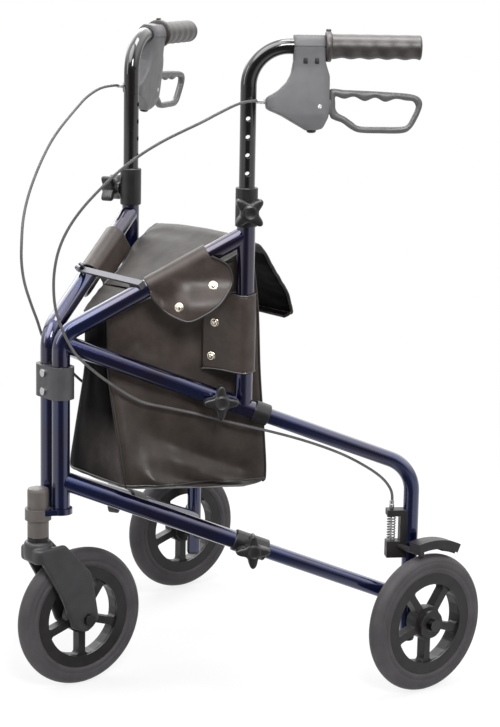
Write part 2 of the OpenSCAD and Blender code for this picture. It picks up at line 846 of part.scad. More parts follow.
module hinge_clamp() {
    r = frame_tube_r + clamp_wall;
    h = clamp_top_z - clamp_foot_z;
    color(fitting_grey) translate([0, post_y, clamp_foot_z]) difference() {
        union() {
            for (s = [-1, 1]) translate([s * post_spacing / 2, 0, 0]) cylinder(r = r, h = h);
            translate([-post_spacing / 2, -r, 0]) cube([post_spacing, 2 * r, h]);
        }
        for (s = [-1, 1]) translate([s * post_spacing / 2, 0, -overrun])
            cylinder(r = frame_tube_r + run_gap, h = h + 2 * overrun);
        for (s = [-1, 1]) translate([0, 0, h / 2 + s * clamp_screw_spread]) rotate([90, 0, 0])
            translate([0, 0, r - clamp_screw_l - seat_gap])
                cylinder(r = clamp_screw_r + seat_gap, h = clamp_screw_l + overrun);
    }
}

// Two screws in the clamp's front face, between the posts
module clamp_screws() {
    r = frame_tube_r + clamp_wall;
    mid = (clamp_foot_z + clamp_top_z) / 2;
    color(steel) for (s = [-1, 1])
        translate([0, post_y, mid + s * clamp_screw_spread]) rotate([90, 0, 0]) {
            translate([0, 0, r - clamp_screw_l])
                cylinder(r = clamp_screw_r, h = clamp_screw_l + clamp_screw_head_t);
            translate([0, 0, r + seat_gap]) cylinder(r = clamp_screw_head_r, h = clamp_screw_head_t);
        }
}

// Handles

// Turns a handle out about its upright
module turned_out() {
    translate([0, upright_u, 0]) rotate([0, 0, -handle_turn]) translate([0, -upright_u, 0]) children();
}

// Turns a brake out about its grip
module rolled_out() {
    turned_out() translate([0, 0, handle_z]) rotate([0, -brake_roll, 0])
        translate([0, 0, -handle_z]) children();
}

module handle_rod(r, extra = 0) {
    first = handle_z - handle_bend_r - handle_foot_z;
    last = grip_end_u - grip_end_t - seat_gap - upright_u - handle_bend_r;
    bent_rod(upright_u, handle_foot_z, 0, first, handle_bend_r, 90, last, r, extra);
}

module handle_tube() {
    color(handle_black) difference() {
        handle_rod(inner_tube_r);
        handle_rod(inner_bore_r, overrun);
        for (k = [0 : hole_count - 1]) translate([0, upright_u, height_knob_z + (k - 1) * hole_pitch])
            rotate([0, 90, 0]) cylinder(r = hole_r, h = 2 * (inner_tube_r + overrun), center = true);
    }
}

// Radius of the grip at a share of its length
function grip_radius(t) = grip_d / 2 - grip_ridge / 2 * (1 - cos(360 * grip_fingers * t));

module grip() {
    l = grip_end_u - grip_start_u;
    bore = inner_tube_r + seat_gap;
    body = [for (k = [0 : grip_steps]) let (t = k / grip_steps)
        [grip_radius(t), l * t - (k == grip_steps ? grip_ridge : 0)]];
    color(moulded_black) translate([0, grip_start_u, handle_z]) rotate([-90, 0, 0])
        rotate_extrude() polygon(concat(
            [[bore, -grip_flange_w], [grip_flange_r - grip_ridge, -grip_flange_w],
             [grip_flange_r, grip_ridge - grip_flange_w], [grip_flange_r, -grip_ridge],
             [grip_flange_r - grip_ridge, 0]],
            body,
            [[grip_d / 2 - grip_ridge, l], [0, l], [0, l - grip_end_t], [bore, l - grip_end_t]]));
}

module brake_housing() {
    start = [housing_nose_u, housing_foot_z];
    outline = rounded(scaled(housing_shares, [housing_l, housing_h], start), housing_corner_r);
    clamp_start = housing_nose_u + housing_shares[0][0] * housing_l;
    clamp_end = housing_nose_u + housing_shares[len(housing_shares) - 1][0] * housing_l;
    slot = lever_bar + 2 * lever_slot_gap;
    color(housing_grey) difference() {
        union() {
            rotate([90, 0, 90]) linear_extrude(height = housing_w, center = true) polygon(outline);
            translate([0, clamp_start, handle_z]) rotate([-90, 0, 0])
                cylinder(r = housing_clamp_r, h = clamp_end - clamp_start);
        }
        translate([0, clamp_start - overrun, handle_z]) rotate([-90, 0, 0])
            cylinder(r = inner_tube_r + seat_gap, h = clamp_end - clamp_start + 2 * overrun);
        facing_out(lever_pivot_u, lever_pivot_z) {
            cylinder(r = lever_slot_r, h = slot, center = true);
            cylinder(r = lever_pin_r + run_gap, h = housing_w + 2 * overrun, center = true);
        }
    }
}

module brake_lever() {
    outer = scaled(lever_shares, [lever_l, lever_h], [lever_start_u, lever_foot_z]);
    size = [lever_l - 2 * lever_bar, lever_h - 2 * lever_bar];
    inner = scaled(lever_shares, size, [lever_start_u + lever_bar, lever_foot_z + lever_bar]);
    neck_l = lever_start_u + lever_bar - lever_pivot_u;
    color(moulded_black) union() {
        rotate([90, 0, 90]) linear_extrude(height = lever_bar, center = true) difference() {
            polygon(rounded(outer, lever_corner_r));
            polygon(rounded(inner, lever_corner_r - lever_bar / 2));
        }
        translate([-lever_bar / 2, lever_pivot_u, lever_pivot_z - lever_neck_h / 2])
            cube([lever_bar, neck_l, lever_neck_h]);
        facing_out(lever_pivot_u, lever_pivot_z) {
            cylinder(r = lever_boss_r, h = lever_bar, center = true);
            cylinder(r = lever_pin_r, h = housing_w, center = true);
        }
    }
}

// Rear brakes

// Place on the arm's pivot line, X along the axle
module at_arm_pivot() {
    translate([0, rear_leg_u, arm_pivot_z]) rotate([0, 0, splay_angle])
        translate([0, -arm_pivot_ahead, 0]) children();
}

module brake_bracket() {
    back = rear_leg_u - inner_tube_r - seat_gap;
    front = rear_leg_u - inner_tube_r - brake_bracket_l;
    l = rear_leg_u - front;
    h = bracket_h;
    open_l = back - bracket_spine_t - front + overrun;
    color(moulded_black) difference() {
        translate([-brake_bracket_w / 2, front, bracket_foot_z]) cube([brake_bracket_w, l, h]);
        translate([0, rear_leg_u, bracket_foot_z - overrun])
            cylinder(r = inner_tube_r + seat_gap, h = h + 2 * overrun);
        translate([-brake_bracket_w / 2 - overrun, front - overrun, bracket_foot_z + bracket_base_t])
            cube([brake_bracket_w + 2 * overrun, open_l, h - bracket_base_t - bracket_flange_t]);
        at_arm_pivot() rotate([0, 90, 0])
            cylinder(r = arm_shaft_r + run_gap, h = 4 * brake_bracket_l, center = true);
        translate([0, rear_leg_u - spring_ahead, bracket_top_z - bracket_flange_t - overrun])
            cylinder(r = cable_wire_r + touch_gap, h = bracket_flange_t + 2 * overrun);
    }
}

// Bowed bar about the wheel's axle, between two angles from the top of the wheel, front positive
module bow(inner, outer, from, to, w) {
    steps = [for (k = [0 : arm_steps]) 180 + from + (to - from) * k / arm_steps];
    linear_extrude(height = w, center = true) polygon(concat(
        [for (a = steps) outer * [cos(a), sin(a)]],
        [for (k = [arm_steps : -1 : 0]) inner * [cos(steps[k]), sin(steps[k])]]));
}

// Arm that turns on its shaft in the bracket, with a brake shoe under it
module brake_arm() {
    reach = wheel_offset + arm_band_w / 2 - overrun;
    shoe_half = asin(shoe_l / 2 / arm_band_in_r);
    color(moulded_black) union() {
        at_arm_pivot() rotate([0, 90, 0]) translate([0, 0, -arm_shaft_in])
            cylinder(r = arm_shaft_r, h = arm_shaft_in + reach);
        at_rear_wheel() {
            bow(arm_band_in_r, arm_band_in_r + arm_band_t, -arm_rear_angle, arm_front_angle, arm_band_w);
            bow(arm_band_in_r - shoe_t, arm_band_in_r + shoe_t, -shoe_angle - shoe_half,
                shoe_half - shoe_angle, arm_band_w - 2 * overrun);
        }
    }
}

// Points of the spring's helix about the Z axis
spring_path = [for (k = [0 : spring_turns * spring_rings]) let (a = 360 * k / spring_rings)
    [spring_mean_r * cos(a), spring_mean_r * sin(a), spring_wire_d / 2 + spring_pitch * k / spring_rings]];
// Least distance between points more than half a turn apart, less one wire
spring_gap = min([for (i = [0 : len(spring_path) - 1], k = [i + spring_rings / 2 : len(spring_path) - 1])
    norm(spring_path[i] - spring_path[k])]) - spring_wire_d;
echo(spring_gap = spring_gap);

module brake_spring() {
    color(steel) translate([0, rear_leg_u - spring_ahead, spring_foot_z])
        loft(tube_rings(spring_path, spring_wire_d / 2, spring_sides, [1, 0, 0]));
}

// Metal ferrule round the cable, from a towards b
module ferrule(a, b) {
    d = b - a;
    color(steel) translate(a) rotate([0, acos(d[2] / norm(d)), atan2(d[1], d[0])]) difference() {
        cylinder(r = ferrule_r, h = ferrule_l);
        translate([0, 0, -overrun]) cylinder(r = cable_d / 2 + seat_gap, h = ferrule_l + 2 * overrun);
    }
}

module brake_cable() {
    last = len(cable_route) - 1;
    color(moulded_black) loft(tube_rings(cable_route, cable_d / 2, cable_sides, [1, 0, 0]));
    ferrule(cable_route[0], cable_route[1]);
    ferrule(cable_route[last], cable_route[last - 1]);
    color(steel) translate([0, rear_leg_u - spring_ahead, spring_foot_z])
        cylinder(r = cable_wire_r, h = cable_route[last][2] - seat_gap - spring_foot_z);
}

// Lock bar

// Lug and pin on the right upper tube, joined to the tube
module lock_lug() {
    pin_z = frame_tube_r + lock_pin_rise;
    translate([-lock_x, 0, 0]) {
        translate([-lock_lug_l / 2, -lock_lug_w / 2, frame_tube_r - tube_wall / 2])
            cube([lock_lug_l, lock_lug_w, pin_z + lock_pin_r - frame_tube_r + tube_wall / 2]);
        translate([0, 0, pin_z]) rotate([90, 0, 0]) cylinder(r = lock_pin_r, h = lock_bar_w, center = true);
    }
}

module lock_bar() {
    plate_z = frame_tube_r + lock_plate_rise;
    pin_z = frame_tube_r + lock_pin_rise;
    hook_z = frame_tube_r - lock_hook_drop;
    color(steel) at_lock() difference() {
        union() {
            translate([-lock_x, -lock_bar_w / 2, plate_z])
                cube([2 * lock_x + lock_hook_l / 2, lock_bar_w, lock_bar_t]);
            translate([lock_x - lock_hook_l / 2, -lock_bar_w / 2, hook_z])
                cube([lock_hook_l, lock_bar_w, plate_z + lock_bar_t - hook_z]);
            translate([-lock_x, 0, pin_z]) rotate([90, 0, 0])
                cylinder(r = lock_knuckle_r, h = lock_bar_w, center = true);
        }
        translate([lock_x, 0, 0]) rotate([0, 0, -tube_skew]) rotate([90, 0, 0])
            cylinder(r = frame_tube_r + touch_gap, h = 2 * lock_hook_l, center = true);
        translate([-lock_x, 0, pin_z]) rotate([90, 0, 0])
            cylinder(r = lock_pin_r + run_gap, h = lock_bar_w + 2 * overrun, center = true);
        translate([-lock_x - lock_lug_l, -lock_lug_w / 2 - touch_gap, hook_z])
            cube([2 * lock_lug_l, lock_lug_w + 2 * touch_gap, pin_z + 2 * lock_knuckle_r - hook_z]);
    }
}

// Bag

// Eight-sided ring of the bag at a row, drawn in by an inset
function bag_ring(row, inset) =
    let (start = post_y + bag_front_y, c = bag_corner_share)
    let (y0 = start + row[0] * bag_l + inset, y1 = start + row[1] * bag_l - inset)
    let (w0 = row[2] * bag_w / 2 - inset, w1 = row[3] * bag_w / 2 - inset)
    let (z0 = bag_foot_z + row[4] * bag_h, z1 = bag_foot_z + row[5] * bag_h)
    let (quad = [[-w0, y0, z0], [w0, y0, z0], [w1, y1, z1], [-w1, y1, z1]])
    [for (i = [0 : 3]) let (p = quad[i])
        each [p + (wrap(quad, i - 1) - p) * c, p + (wrap(quad, i + 1) - p) * c]];

module bag() {
    last = len(bag_row_shares) - 1;
    mouth_y = post_y + bag_front_y + bag_mouth_share * bag_l;
    mouth = bag_ring(bag_row_shares[last], 2 * bag_wall);
    color(bag_black) difference() {
        loft([for (row = bag_row_shares) bag_ring(row, 0)]);
        loft([for (i = [0 : last]) [for (p = bag_ring(bag_row_shares[i], bag_wall))
            p + [0, 0, i == 0 ? bag_wall : i == last ? -bag_wall : 0]]]);
        intersection() {
            loft([for (lift = [-2, 1] * bag_wall) [for (p = mouth) p + [0, 0, lift]]]);
            translate([-bag_w, mouth_y, bag_foot_z]) cube([2 * bag_w, bag_l, 2 * bag_h]);
        }
    }
}

// Section of the lid across its run at a row
function lid_section(i, rows) =
    let (p = rows[i], a = rows[max(i - 1, 0)], b = rows[min(i + 1, len(rows) - 1)])
    let (run = unit([b[0] - a[0], b[1] - a[1]]), up = [-run[1], run[0]] * lid_t)
    let (q = [p[0] + up[0], p[1] + up[1]])
    [[-p[2], p[0], p[1]], [p[2], p[0], p[1]], [p[2], q[0], q[1]], [-p[2], q[0], q[1]]];

module bag_lid() {
    start = [post_y + bag_front_y, bag_foot_z + lid_gap, 0];
    rows = [for (s = lid_row_shares) start + [s[0] * bag_l, s[1] * bag_h, s[2] * bag_w / 2]];
    color(bag_black) loft([for (i = [0 : len(rows) - 1]) lid_section(i, rows)]);
}

// Flap folded over the upper tube, and strap folded round the upright
module bag_flap() {
    skin = frame_tube_r + flap_gap;
    tube_z = upper_corner_z + flap_start_u * tan(upper_rise_angle);
    l = flap_end_u - flap_start_u;
    top = l * tan(upper_rise_angle) + 2 * frame_tube_r;
    outline = rounded([[0, 2 * frame_tube_r], [0, -flap_drop / 2], [l / 4, -flap_drop],
        [l, -flap_drop / 4], [l, top]], flap_corner_r);
    color(bag_black) {
        intersection() {
            difference() {
                union() {
                    heading(0, upper_corner_z, upper_turn) cylinder(r = skin + flap_t, h = 2 * upright_u);
                    heading(0, upper_corner_z, upper_turn)
                        cube([skin + flap_t, 2 * flap_drop, 2 * upright_u]);
                }
                heading(0, upper_corner_z, upper_turn) cylinder(r = skin, h = 2 * upright_u);
                heading(0, upper_corner_z, upper_turn) translate([-2 * skin, 0, 0])
                    cube([3 * skin, 2 * flap_drop, 2 * upright_u]);
            }
            translate([0, flap_start_u, tube_z]) rotate([90, 0, 90])
                linear_extrude(height = 2 * (skin + flap_t), center = true) polygon(outline);
        }
        translate([0, upright_u, strap_foot_z]) difference() {
            union() {
                cylinder(r = skin + flap_t, h = strap_top_z - strap_foot_z);
                rotate([0, 0, -strap_lean]) translate([skin, -strap_reach, 0])
                    cube([flap_t, strap_reach, strap_top_z - strap_foot_z]);
            }
            translate([0, 0, -overrun]) cylinder(r = skin, h = strap_top_z - strap_foot_z + 2 * overrun);
        }
    }
}

// Nodes

module front_tyre() { at_front_wheel() tyre(); }
module front_hub() { at_front_wheel() hub(); }
module front_bearings() { at_front_wheel() bearings(); }
module left_post_tube() { left_side() post_tube(); }
module left_leg_tube() { left_side() leg_tube(); }
module left_brace_tube() { left_side() brace_tube(); }
module left_upright_tube() { left_side() upright_tube(); }
module left_rear_leg_tube() { left_side() rear_leg_tube(); }
module left_rear_brace_tube() { left_side() rear_brace_tube(); }
module left_tube_fittings() { left_side() tube_fittings(); }
module left_rear_axle() { left_side() rear_axle(); }
module left_brake_bracket() { left_side() brake_bracket(); }
module left_brake_spring() { left_side() brake_spring(); }
module left_brake_arm() { left_side() brake_arm(); }
module left_brake_cable() { left_side() brake_cable(); }
module left_tyre() { left_side() at_rear_wheel() tyre(); }
module left_hub() { left_side() at_rear_wheel() hub(); }
module left_bearings() { left_side() at_rear_wheel() bearings(); }
module left_handle_tube() { left_side() turned_out() handle_tube(); }
module left_grip() { left_side() turned_out() grip(); }
module left_brake_housing() { left_side() rolled_out() brake_housing(); }
module left_brake_lever() { left_side() rolled_out() brake_lever(); }
module left_height_knob() { left_side() height_knob(); }
module left_leg_knob() { left_side() leg_knob(); }
module left_brace_knob() { left_side() brace_knob(); }
module left_bag_flap() { left_side() bag_flap(); }
module right_post_tube() {
    color(frame_blue) union() {
        right_side() post_tube();
        at_lock() lock_lug();
    }
}
module right_leg_tube() { right_side() leg_tube(); }
module right_brace_tube() { right_side() brace_tube(); }
module right_upright_tube() { right_side() upright_tube(); }
module right_rear_leg_tube() { right_side() rear_leg_tube(); }
module right_rear_brace_tube() { right_side() rear_brace_tube(); }
module right_tube_fittings() { right_side() tube_fittings(); }
module right_rear_axle() { right_side() rear_axle(); }
module right_brake_bracket() { right_side() brake_bracket(); }
module right_brake_spring() { right_side() brake_spring(); }
module right_brake_arm() { right_side() brake_arm(); }
module right_brake_cable() { right_side() brake_cable(); }
module right_tyre() { right_side() at_rear_wheel() tyre(); }
module right_hub() { right_side() at_rear_wheel() hub(); }
module right_bearings() { right_side() at_rear_wheel() bearings(); }
module right_handle_tube() { right_side() turned_out() handle_tube(); }
module right_grip() { right_side() turned_out() grip(); }
module right_brake_housing() { right_side() rolled_out() brake_housing(); }
module right_brake_lever() { right_side() rolled_out() brake_lever(); }
module right_height_knob() { right_side() height_knob(); }
module right_leg_knob() { right_side() leg_knob(); }
module right_brace_knob() { right_side() brace_knob(); }
module right_bag_flap() { right_side() bag_flap(); }

hinge_clamp();
clamp_screws();
caster_bracket();
stem_housing();
stem_bushes();
caster_fork();
caster_stem();
front_axle();
front_tyre();
front_hub();
front_bearings();
left_post_tube();
left_leg_tube();
left_brace_tube();
left_upright_tube();
left_rear_leg_tube();
left_rear_brace_tube();
left_tube_fittings();
left_rear_axle();
left_brake_bracket();
left_brake_spring();
left_brake_arm();
left_brake_cable();
left_tyre();
left_hub();
left_bearings();
left_handle_tube();
left_grip();
left_brake_housing();
left_brake_lever();
left_height_knob();
left_leg_knob();
left_brace_knob();
left_bag_flap();
right_post_tube();
right_leg_tube();
right_brace_tube();
right_upright_tube();
right_rear_leg_tube();
right_rear_brace_tube();
right_tube_fittings();
right_rear_axle();
right_brake_bracket();
right_brake_spring();
right_brake_arm();
right_brake_cable();
right_tyre();
right_hub();
right_bearings();
right_handle_tube();
right_grip();
right_brake_housing();
right_brake_lever();
right_height_knob();
right_leg_knob();
right_brace_knob();
right_bag_flap();
lock_bar();
bag();
bag_lid();
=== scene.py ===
from math import acos, copysign, cos, exp, hypot, pi, radians, sin, tan

import bmesh
import bpy
import numpy as np
from mathutils import Matrix, Vector, noise


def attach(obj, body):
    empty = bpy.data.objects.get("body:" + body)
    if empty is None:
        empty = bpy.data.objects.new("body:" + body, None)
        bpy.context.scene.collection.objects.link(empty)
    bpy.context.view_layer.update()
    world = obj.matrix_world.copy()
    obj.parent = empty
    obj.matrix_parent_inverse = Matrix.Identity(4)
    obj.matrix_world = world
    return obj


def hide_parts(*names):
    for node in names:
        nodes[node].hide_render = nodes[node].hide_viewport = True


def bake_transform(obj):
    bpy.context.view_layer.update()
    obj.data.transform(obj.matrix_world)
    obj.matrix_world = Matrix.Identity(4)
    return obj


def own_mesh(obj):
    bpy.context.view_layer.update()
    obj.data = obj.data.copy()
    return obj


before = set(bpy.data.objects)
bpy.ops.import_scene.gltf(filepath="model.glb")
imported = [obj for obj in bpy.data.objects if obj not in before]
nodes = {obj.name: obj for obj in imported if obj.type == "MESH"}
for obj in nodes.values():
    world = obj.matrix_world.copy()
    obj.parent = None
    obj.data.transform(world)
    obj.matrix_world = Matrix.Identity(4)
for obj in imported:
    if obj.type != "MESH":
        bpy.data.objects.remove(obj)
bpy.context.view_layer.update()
scene = bpy.context.scene
scene.view_settings.view_transform = "Standard"

# Driving sizes in mm, as in the part's source

MM = 0.001
UP = Vector((0, 0, 1))
SIDES = (("left", 1), ("right", -1))
# Half the angle between the side frames
SPLAY = radians(30)
POST_X, POST_Y = 15.0, -236.323
STEM_Y = POST_Y - 28.0
FORK_TRAIL = 68.5
WHEEL_R = 100.0
# Places along a side frame
UPRIGHT_U, BRAKE_U, REAR_LEG_U = 254.5, 471.0, 499.0
# Heights of the sloping tubes at the post, and their slopes
UPPER_Z, LEG_Z, BRACE_Z = 513.5, 504.0, 308.0
UPPER_SLOPE, LEG_SLOPE = radians(29), radians(20.2)
HANDLE_Z = 912.0
# How far a handle is turned out about its upright, and a brake about its grip
HANDLE_TURN, BRAKE_TURN = radians(4), radians(7)


def side(off, u, z, sg=1):
    """A point of a side frame in metres: outward, along the frame and up in mm."""
    x = POST_X + u * sin(SPLAY) + off * cos(SPLAY)
    y = POST_Y + u * cos(SPLAY) - off * sin(SPLAY)
    return Vector((sg * x, y, z)) * MM


class Nodes:
    """The node tree of a material or of the world, with short calls to add and link nodes."""

    def __init__(self, owner, coord="Object"):
        owner.use_nodes = True
        self.owner = owner
        self.tree = owner.node_tree
        self.coord = self.tree.nodes.new("ShaderNodeTexCoord").outputs[coord]

    def set(self, socket, value):
        """Links a socket to another, or gives it a value."""
        if isinstance(value, bpy.types.NodeSocket):
            self.tree.links.new(value, socket)
        elif socket.type == "RGBA":
            socket.default_value = (*value, 1)
        else:
            socket.default_value = value

    def add(self, kind, inputs, **props):
        """Adds a node with its settings and inputs, and gives its outputs."""
        node = self.tree.nodes.new("ShaderNode" + kind)
        for k, v in props.items():
            setattr(node, k, v)
        for k, v in inputs.items():
            self.set(node.inputs[k], v)
        return node.outputs

    def noise(self, scale, detail=3.0, rough=0.5):
        inputs = {"Vector": self.coord, "Scale": scale, "Detail": detail, "Roughness": rough}
        return self.add("TexNoise", inputs)["Fac"]

    def spread(self, value, low, high, start=0.3, end=0.7, kind="LINEAR"):
        """A value mapped from start and end to low and high."""
        inputs = {"Value": value, "From Min": start, "From Max": end, "To Min": low, "To Max": high}
        return self.add("MapRange", inputs, interpolation_type=kind)["Result"]

    def mix(self, fac, a, b):
        return self.add("Mix", {0: fac, 6: a, 7: b}, data_type="RGBA")[2]

    def dot(self, a, b):
        return self.add("VectorMath", {0: a, 1: b}, operation="DOT_PRODUCT")["Value"]

    def calc(self, operation, a, b):
        return self.add("Math", {0: a, 1: b}, operation=operation)[0]

    def bump(self, height, depth, normal=None):
        inputs = {"Height": height, "Distance": depth, "Strength": 1.0}
        if normal is not None:
            inputs["Normal"] = normal
        return self.add("Bump", inputs)["Normal"]

    def soft_edge(self, radius):
        return self.add("Bevel", {"Radius": radius}, samples=6)["Normal"]

    def ray_kinds(self):
        """Camera rays, and rays that show the surroundings in metal and gloss."""
        rays = self.add("LightPath", {})
        gloss = self.calc("MAXIMUM", rays["Is Glossy Ray"], rays["Is Transmission Ray"])
        return rays["Is Camera Ray"], gloss

    def to(self, **sockets):
        """Sets the sockets of the material's shader and gives the material."""
        shader = self.tree.nodes["Principled BSDF"]
        for k, v in sockets.items():
            self.set(shader.inputs[k.replace("_", " ")], v)
        return self.owner


def new_material(name):
    return Nodes(bpy.data.materials.new(name))


# Materials: scales are per metre, depths and radii in metres

# How dark the painted shade makes the vinyl low on the bag, and the heights between which it changes
LOW_SHADE, LOW_SHADE_BAND = 0.6, (0.33, 0.47)
# Where a painted sheen lightens the bag's front: heights, and places across it
FRONT_SHEEN_BAND, FRONT_SHEEN_ACROSS = (0.345, 0.4), (-0.045, 0.015)


def plastic(name, a, b, rough, spec=0.5):
    n = new_material(name)
    tone = n.noise(scale=38, detail=4)
    grain = n.noise(scale=2600, detail=2)
    return n.to(Base_Color=n.mix(n.spread(tone, 0, 1), a, b),
                Roughness=n.spread(n.noise(scale=90), rough - 0.06, rough + 0.08),
                Normal=n.bump(grain, depth=0.00004, normal=n.soft_edge(radius=0.0006)),
                Specular_IOR_Level=spec)


def paint(name, a, b, flake, rough, metallic, coat):
    """Sprayed paint with metal flakes under a clear coat."""
    n = new_material(name)
    base = n.mix(n.spread(n.noise(scale=9), 0, 1, 0.35, 0.65), a, b)
    fleck = n.add("TexVoronoi", {"Vector": n.coord, "Scale": 2400.0})["Distance"]
    peel = n.noise(scale=60, detail=2)
    return n.to(Base_Color=n.mix(n.spread(fleck, 0.55, 0.0, 0.05, 0.4), base, flake),
                Roughness=n.spread(n.noise(scale=25), rough - 0.04, rough + 0.06), Metallic=metallic,
                Coat_Weight=coat, Coat_Roughness=0.05, Coat_IOR=1.6, Specular_IOR_Level=0.2,
                Normal=n.bump(peel, depth=0.00006, normal=n.soft_edge(radius=0.0006)))


def metal(name, a, b, rough):
    n = new_material(name)
    grain = n.noise(scale=700, rough=0.6)
    return n.to(Base_Color=n.mix(n.spread(grain, 0, 1), a, b), Metallic=1.0,
                Roughness=n.spread(grain, rough - 0.08, rough + 0.1),
                Normal=n.bump(grain, depth=0.00002, normal=n.soft_edge(radius=0.0004)))


def rubber(name, a, b, rough, depth=0.00012, scale=900.0, spec=0.25):
    n = new_material(name)
    dust = n.noise(scale=22, detail=5, rough=0.6)
    grain = n.noise(scale, rough=0.6)
    return n.to(Base_Color=n.mix(n.spread(dust, 0, 1, 0.35, 0.7), a, b),
                Roughness=n.spread(grain, rough - 0.08, rough + 0.1),
                Normal=n.bump(grain, depth, n.soft_edge(radius=0.0005)), Specular_IOR_Level=spec)


def vinyl(name, a, b, rough, spec=0.5, near=None):
    """Embossed vinyl with painted shade low on the bag. near gives it two lighter colours, a painted sheen
    low on the near side.
    """
    n = new_material(name)
    warp = n.noise(scale=160, detail=2)
    crease = n.noise(scale=34, detail=5, rough=0.62)
    cells = {"Vector": n.coord, "Scale": 620.0, "Smoothness": 0.6}
    pebble = n.add("TexVoronoi", cells, feature="SMOOTH_F1")["Distance"]
    normal = n.bump(crease, depth=0.00012, normal=n.bump(warp, depth=0.00005))
    normal = n.bump(pebble, depth=0.00007, normal=normal)
    across, _, height = n.add("SeparateXYZ", {0: n.coord})
    # Colour follows the creases: darker where they sink, lighter where they rise
    crease_tone = n.spread(crease, 0, 1, 0.35, 0.7)
    # Painted shade: the vinyl darkens low on the bag
    low = n.mix(crease_tone, *(tuple(LOW_SHADE * v for v in c) for c in (a, b)))
    colour = n.mix(n.spread(height, 0, 1, *LOW_SHADE_BAND), low, n.mix(crease_tone, a, b))
    if near:
        # Painted sheen: two lighter colours low on the near side of the front
        light = n.mix(n.spread(height, 0, 1, *FRONT_SHEEN_BAND), n.mix(crease_tone, *near), colour)
        colour = n.mix(n.spread(across, 0, 1, *FRONT_SHEEN_ACROSS), colour, light)
    return n.to(Base_Color=colour, Roughness=n.spread(n.noise(scale=30), rough - 0.03, rough + 0.05),
                Normal=normal, Specular_IOR_Level=spec)


BLUE = paint("frame_paint", (0.005, 0.012, 0.07), (0.013, 0.005, 0.02), (0.03, 0.07, 0.24), 0.2, 0.65, 1.0)
BLACK_PAINT = paint("handle_paint", (0.006, 0.0055, 0.006), (0.009, 0.007, 0.007), (0.015, 0.015, 0.016),
                    0.14, 0.1, 0.9)
GREY = plastic("fitting_plastic", (0.062, 0.06, 0.064), (0.088, 0.085, 0.09), 0.42, 0.35)
FITTING = plastic("collar_plastic", (0.011, 0.01, 0.011), (0.019, 0.017, 0.019), 0.36, 0.4)
KNOB = plastic("knob_plastic", (0.013, 0.012, 0.013), (0.022, 0.02, 0.021), 0.34, 0.45)
PALE_GREY = plastic("housing_plastic", (0.14, 0.137, 0.143), (0.17, 0.166, 0.172), 0.44, 0.3)
LEVER_GREY = plastic("lever_plastic", (0.085, 0.084, 0.087), (0.11, 0.108, 0.112), 0.36)
MOULDED = plastic("moulded_plastic", (0.014, 0.0125, 0.0135), (0.024, 0.0215, 0.023), 0.38, 0.3)
FORK_GREY = plastic("fork_plastic", (0.036, 0.035, 0.037), (0.052, 0.05, 0.053), 0.42, 0.35)
STEM_GREY = plastic("stem_plastic", (0.105, 0.093, 0.085), (0.135, 0.12, 0.11), 0.4)
STEEL = metal("plated_steel", (0.42, 0.42, 0.44), (0.58, 0.58, 0.6), 0.3)
DARK_STEEL = metal("black_steel", (0.045, 0.043, 0.045), (0.075, 0.072, 0.075), 0.36)
BAR_STEEL = metal("bar_steel", (0.075, 0.075, 0.083), (0.15, 0.15, 0.162), 0.48)
SPRING_STEEL = metal("spring_steel", (0.12, 0.115, 0.12), (0.18, 0.175, 0.18), 0.34)
SNAP = metal("snap_metal", (0.7, 0.6, 0.46), (0.82, 0.76, 0.66), 0.22)
TYRE = rubber("tyre_rubber", (0.058, 0.053, 0.057), (0.085, 0.079, 0.084), 0.56)
GRIP = rubber("grip_rubber", (0.03, 0.023, 0.022), (0.046, 0.037, 0.035), 0.4, 0.00006, 1500.0, 0.7)
CABLE = rubber("cable_cover", (0.105, 0.101, 0.101), (0.15, 0.146, 0.146), 0.3, 0.00003, 3000.0)
VINYL = vinyl("bag_vinyl", (0.044, 0.033, 0.0285), (0.07, 0.054, 0.0475), 0.34, 0.3)
LID_VINYL = vinyl("lid_vinyl", (0.058, 0.053, 0.05), (0.088, 0.081, 0.077), 0.5, 0.18)
# Near-black copy of the vinyl: the bag's own darker front panel made near black as painted shade, and painted
# shade on the lid's rear flap inside
SHADE_VINYL = vinyl("bag_shade_vinyl", (0.002, 0.0015, 0.0015), (0.006, 0.005, 0.005), 0.5, 0.03,
                    ((0.06, 0.051, 0.049), (0.095, 0.082, 0.078)))
PIPING = vinyl("bag_piping", (0.016, 0.013, 0.012), (0.036, 0.03, 0.028), 0.32)

# Materials of the CAD nodes. A name without its side stands for both.
CAD_MATERIALS = (
    (BLUE, "caster_bracket post_tube leg_tube brace_tube upright_tube rear_leg_tube rear_brace_tube"),
    (MOULDED, "stem_bushes front_hub hub brake_bracket brake_arm"),
    (DARK_STEEL, "front_axle front_bearings rear_axle bearings"), (STEEL, "clamp_screws caster_stem"),
    (VINYL, "bag bag_lid bag_flap"), (KNOB, "height_knob leg_knob brace_knob"), (TYRE, "front_tyre tyre"),
    (GREY, "hinge_clamp"), (STEM_GREY, "stem_housing"), (FORK_GREY, "caster_fork"), (BAR_STEEL, "lock_bar"),
    (FITTING, "tube_fittings"), (SPRING_STEEL, "brake_spring"), (CABLE, "brake_cable"), (GRIP, "grip"),
    (BLACK_PAINT, "handle_tube"), (PALE_GREY, "brake_housing"), (LEVER_GREY, "brake_lever"),
)
by_name = {name: mat for mat, names in CAD_MATERIALS for name in names.split()}
for name, node in nodes.items():
    short = name.split("_", 1)[1] if name.startswith(("left_", "right_")) else name
    node.data.materials.clear()
    node.data.materials.append(by_name[short])
# The bracket's ring round the stem housing has that housing's colour
STEM_RING_R = 18.5
bracket = nodes["caster_bracket"]
bracket.data.materials.append(STEM_GREY)
for f in bracket.data.polygons:
    c = bracket.matrix_world @ f.center
    f.material_index = int(hypot(c.x, c.y - STEM_Y * MM) < STEM_RING_R * MM)


# Meshes


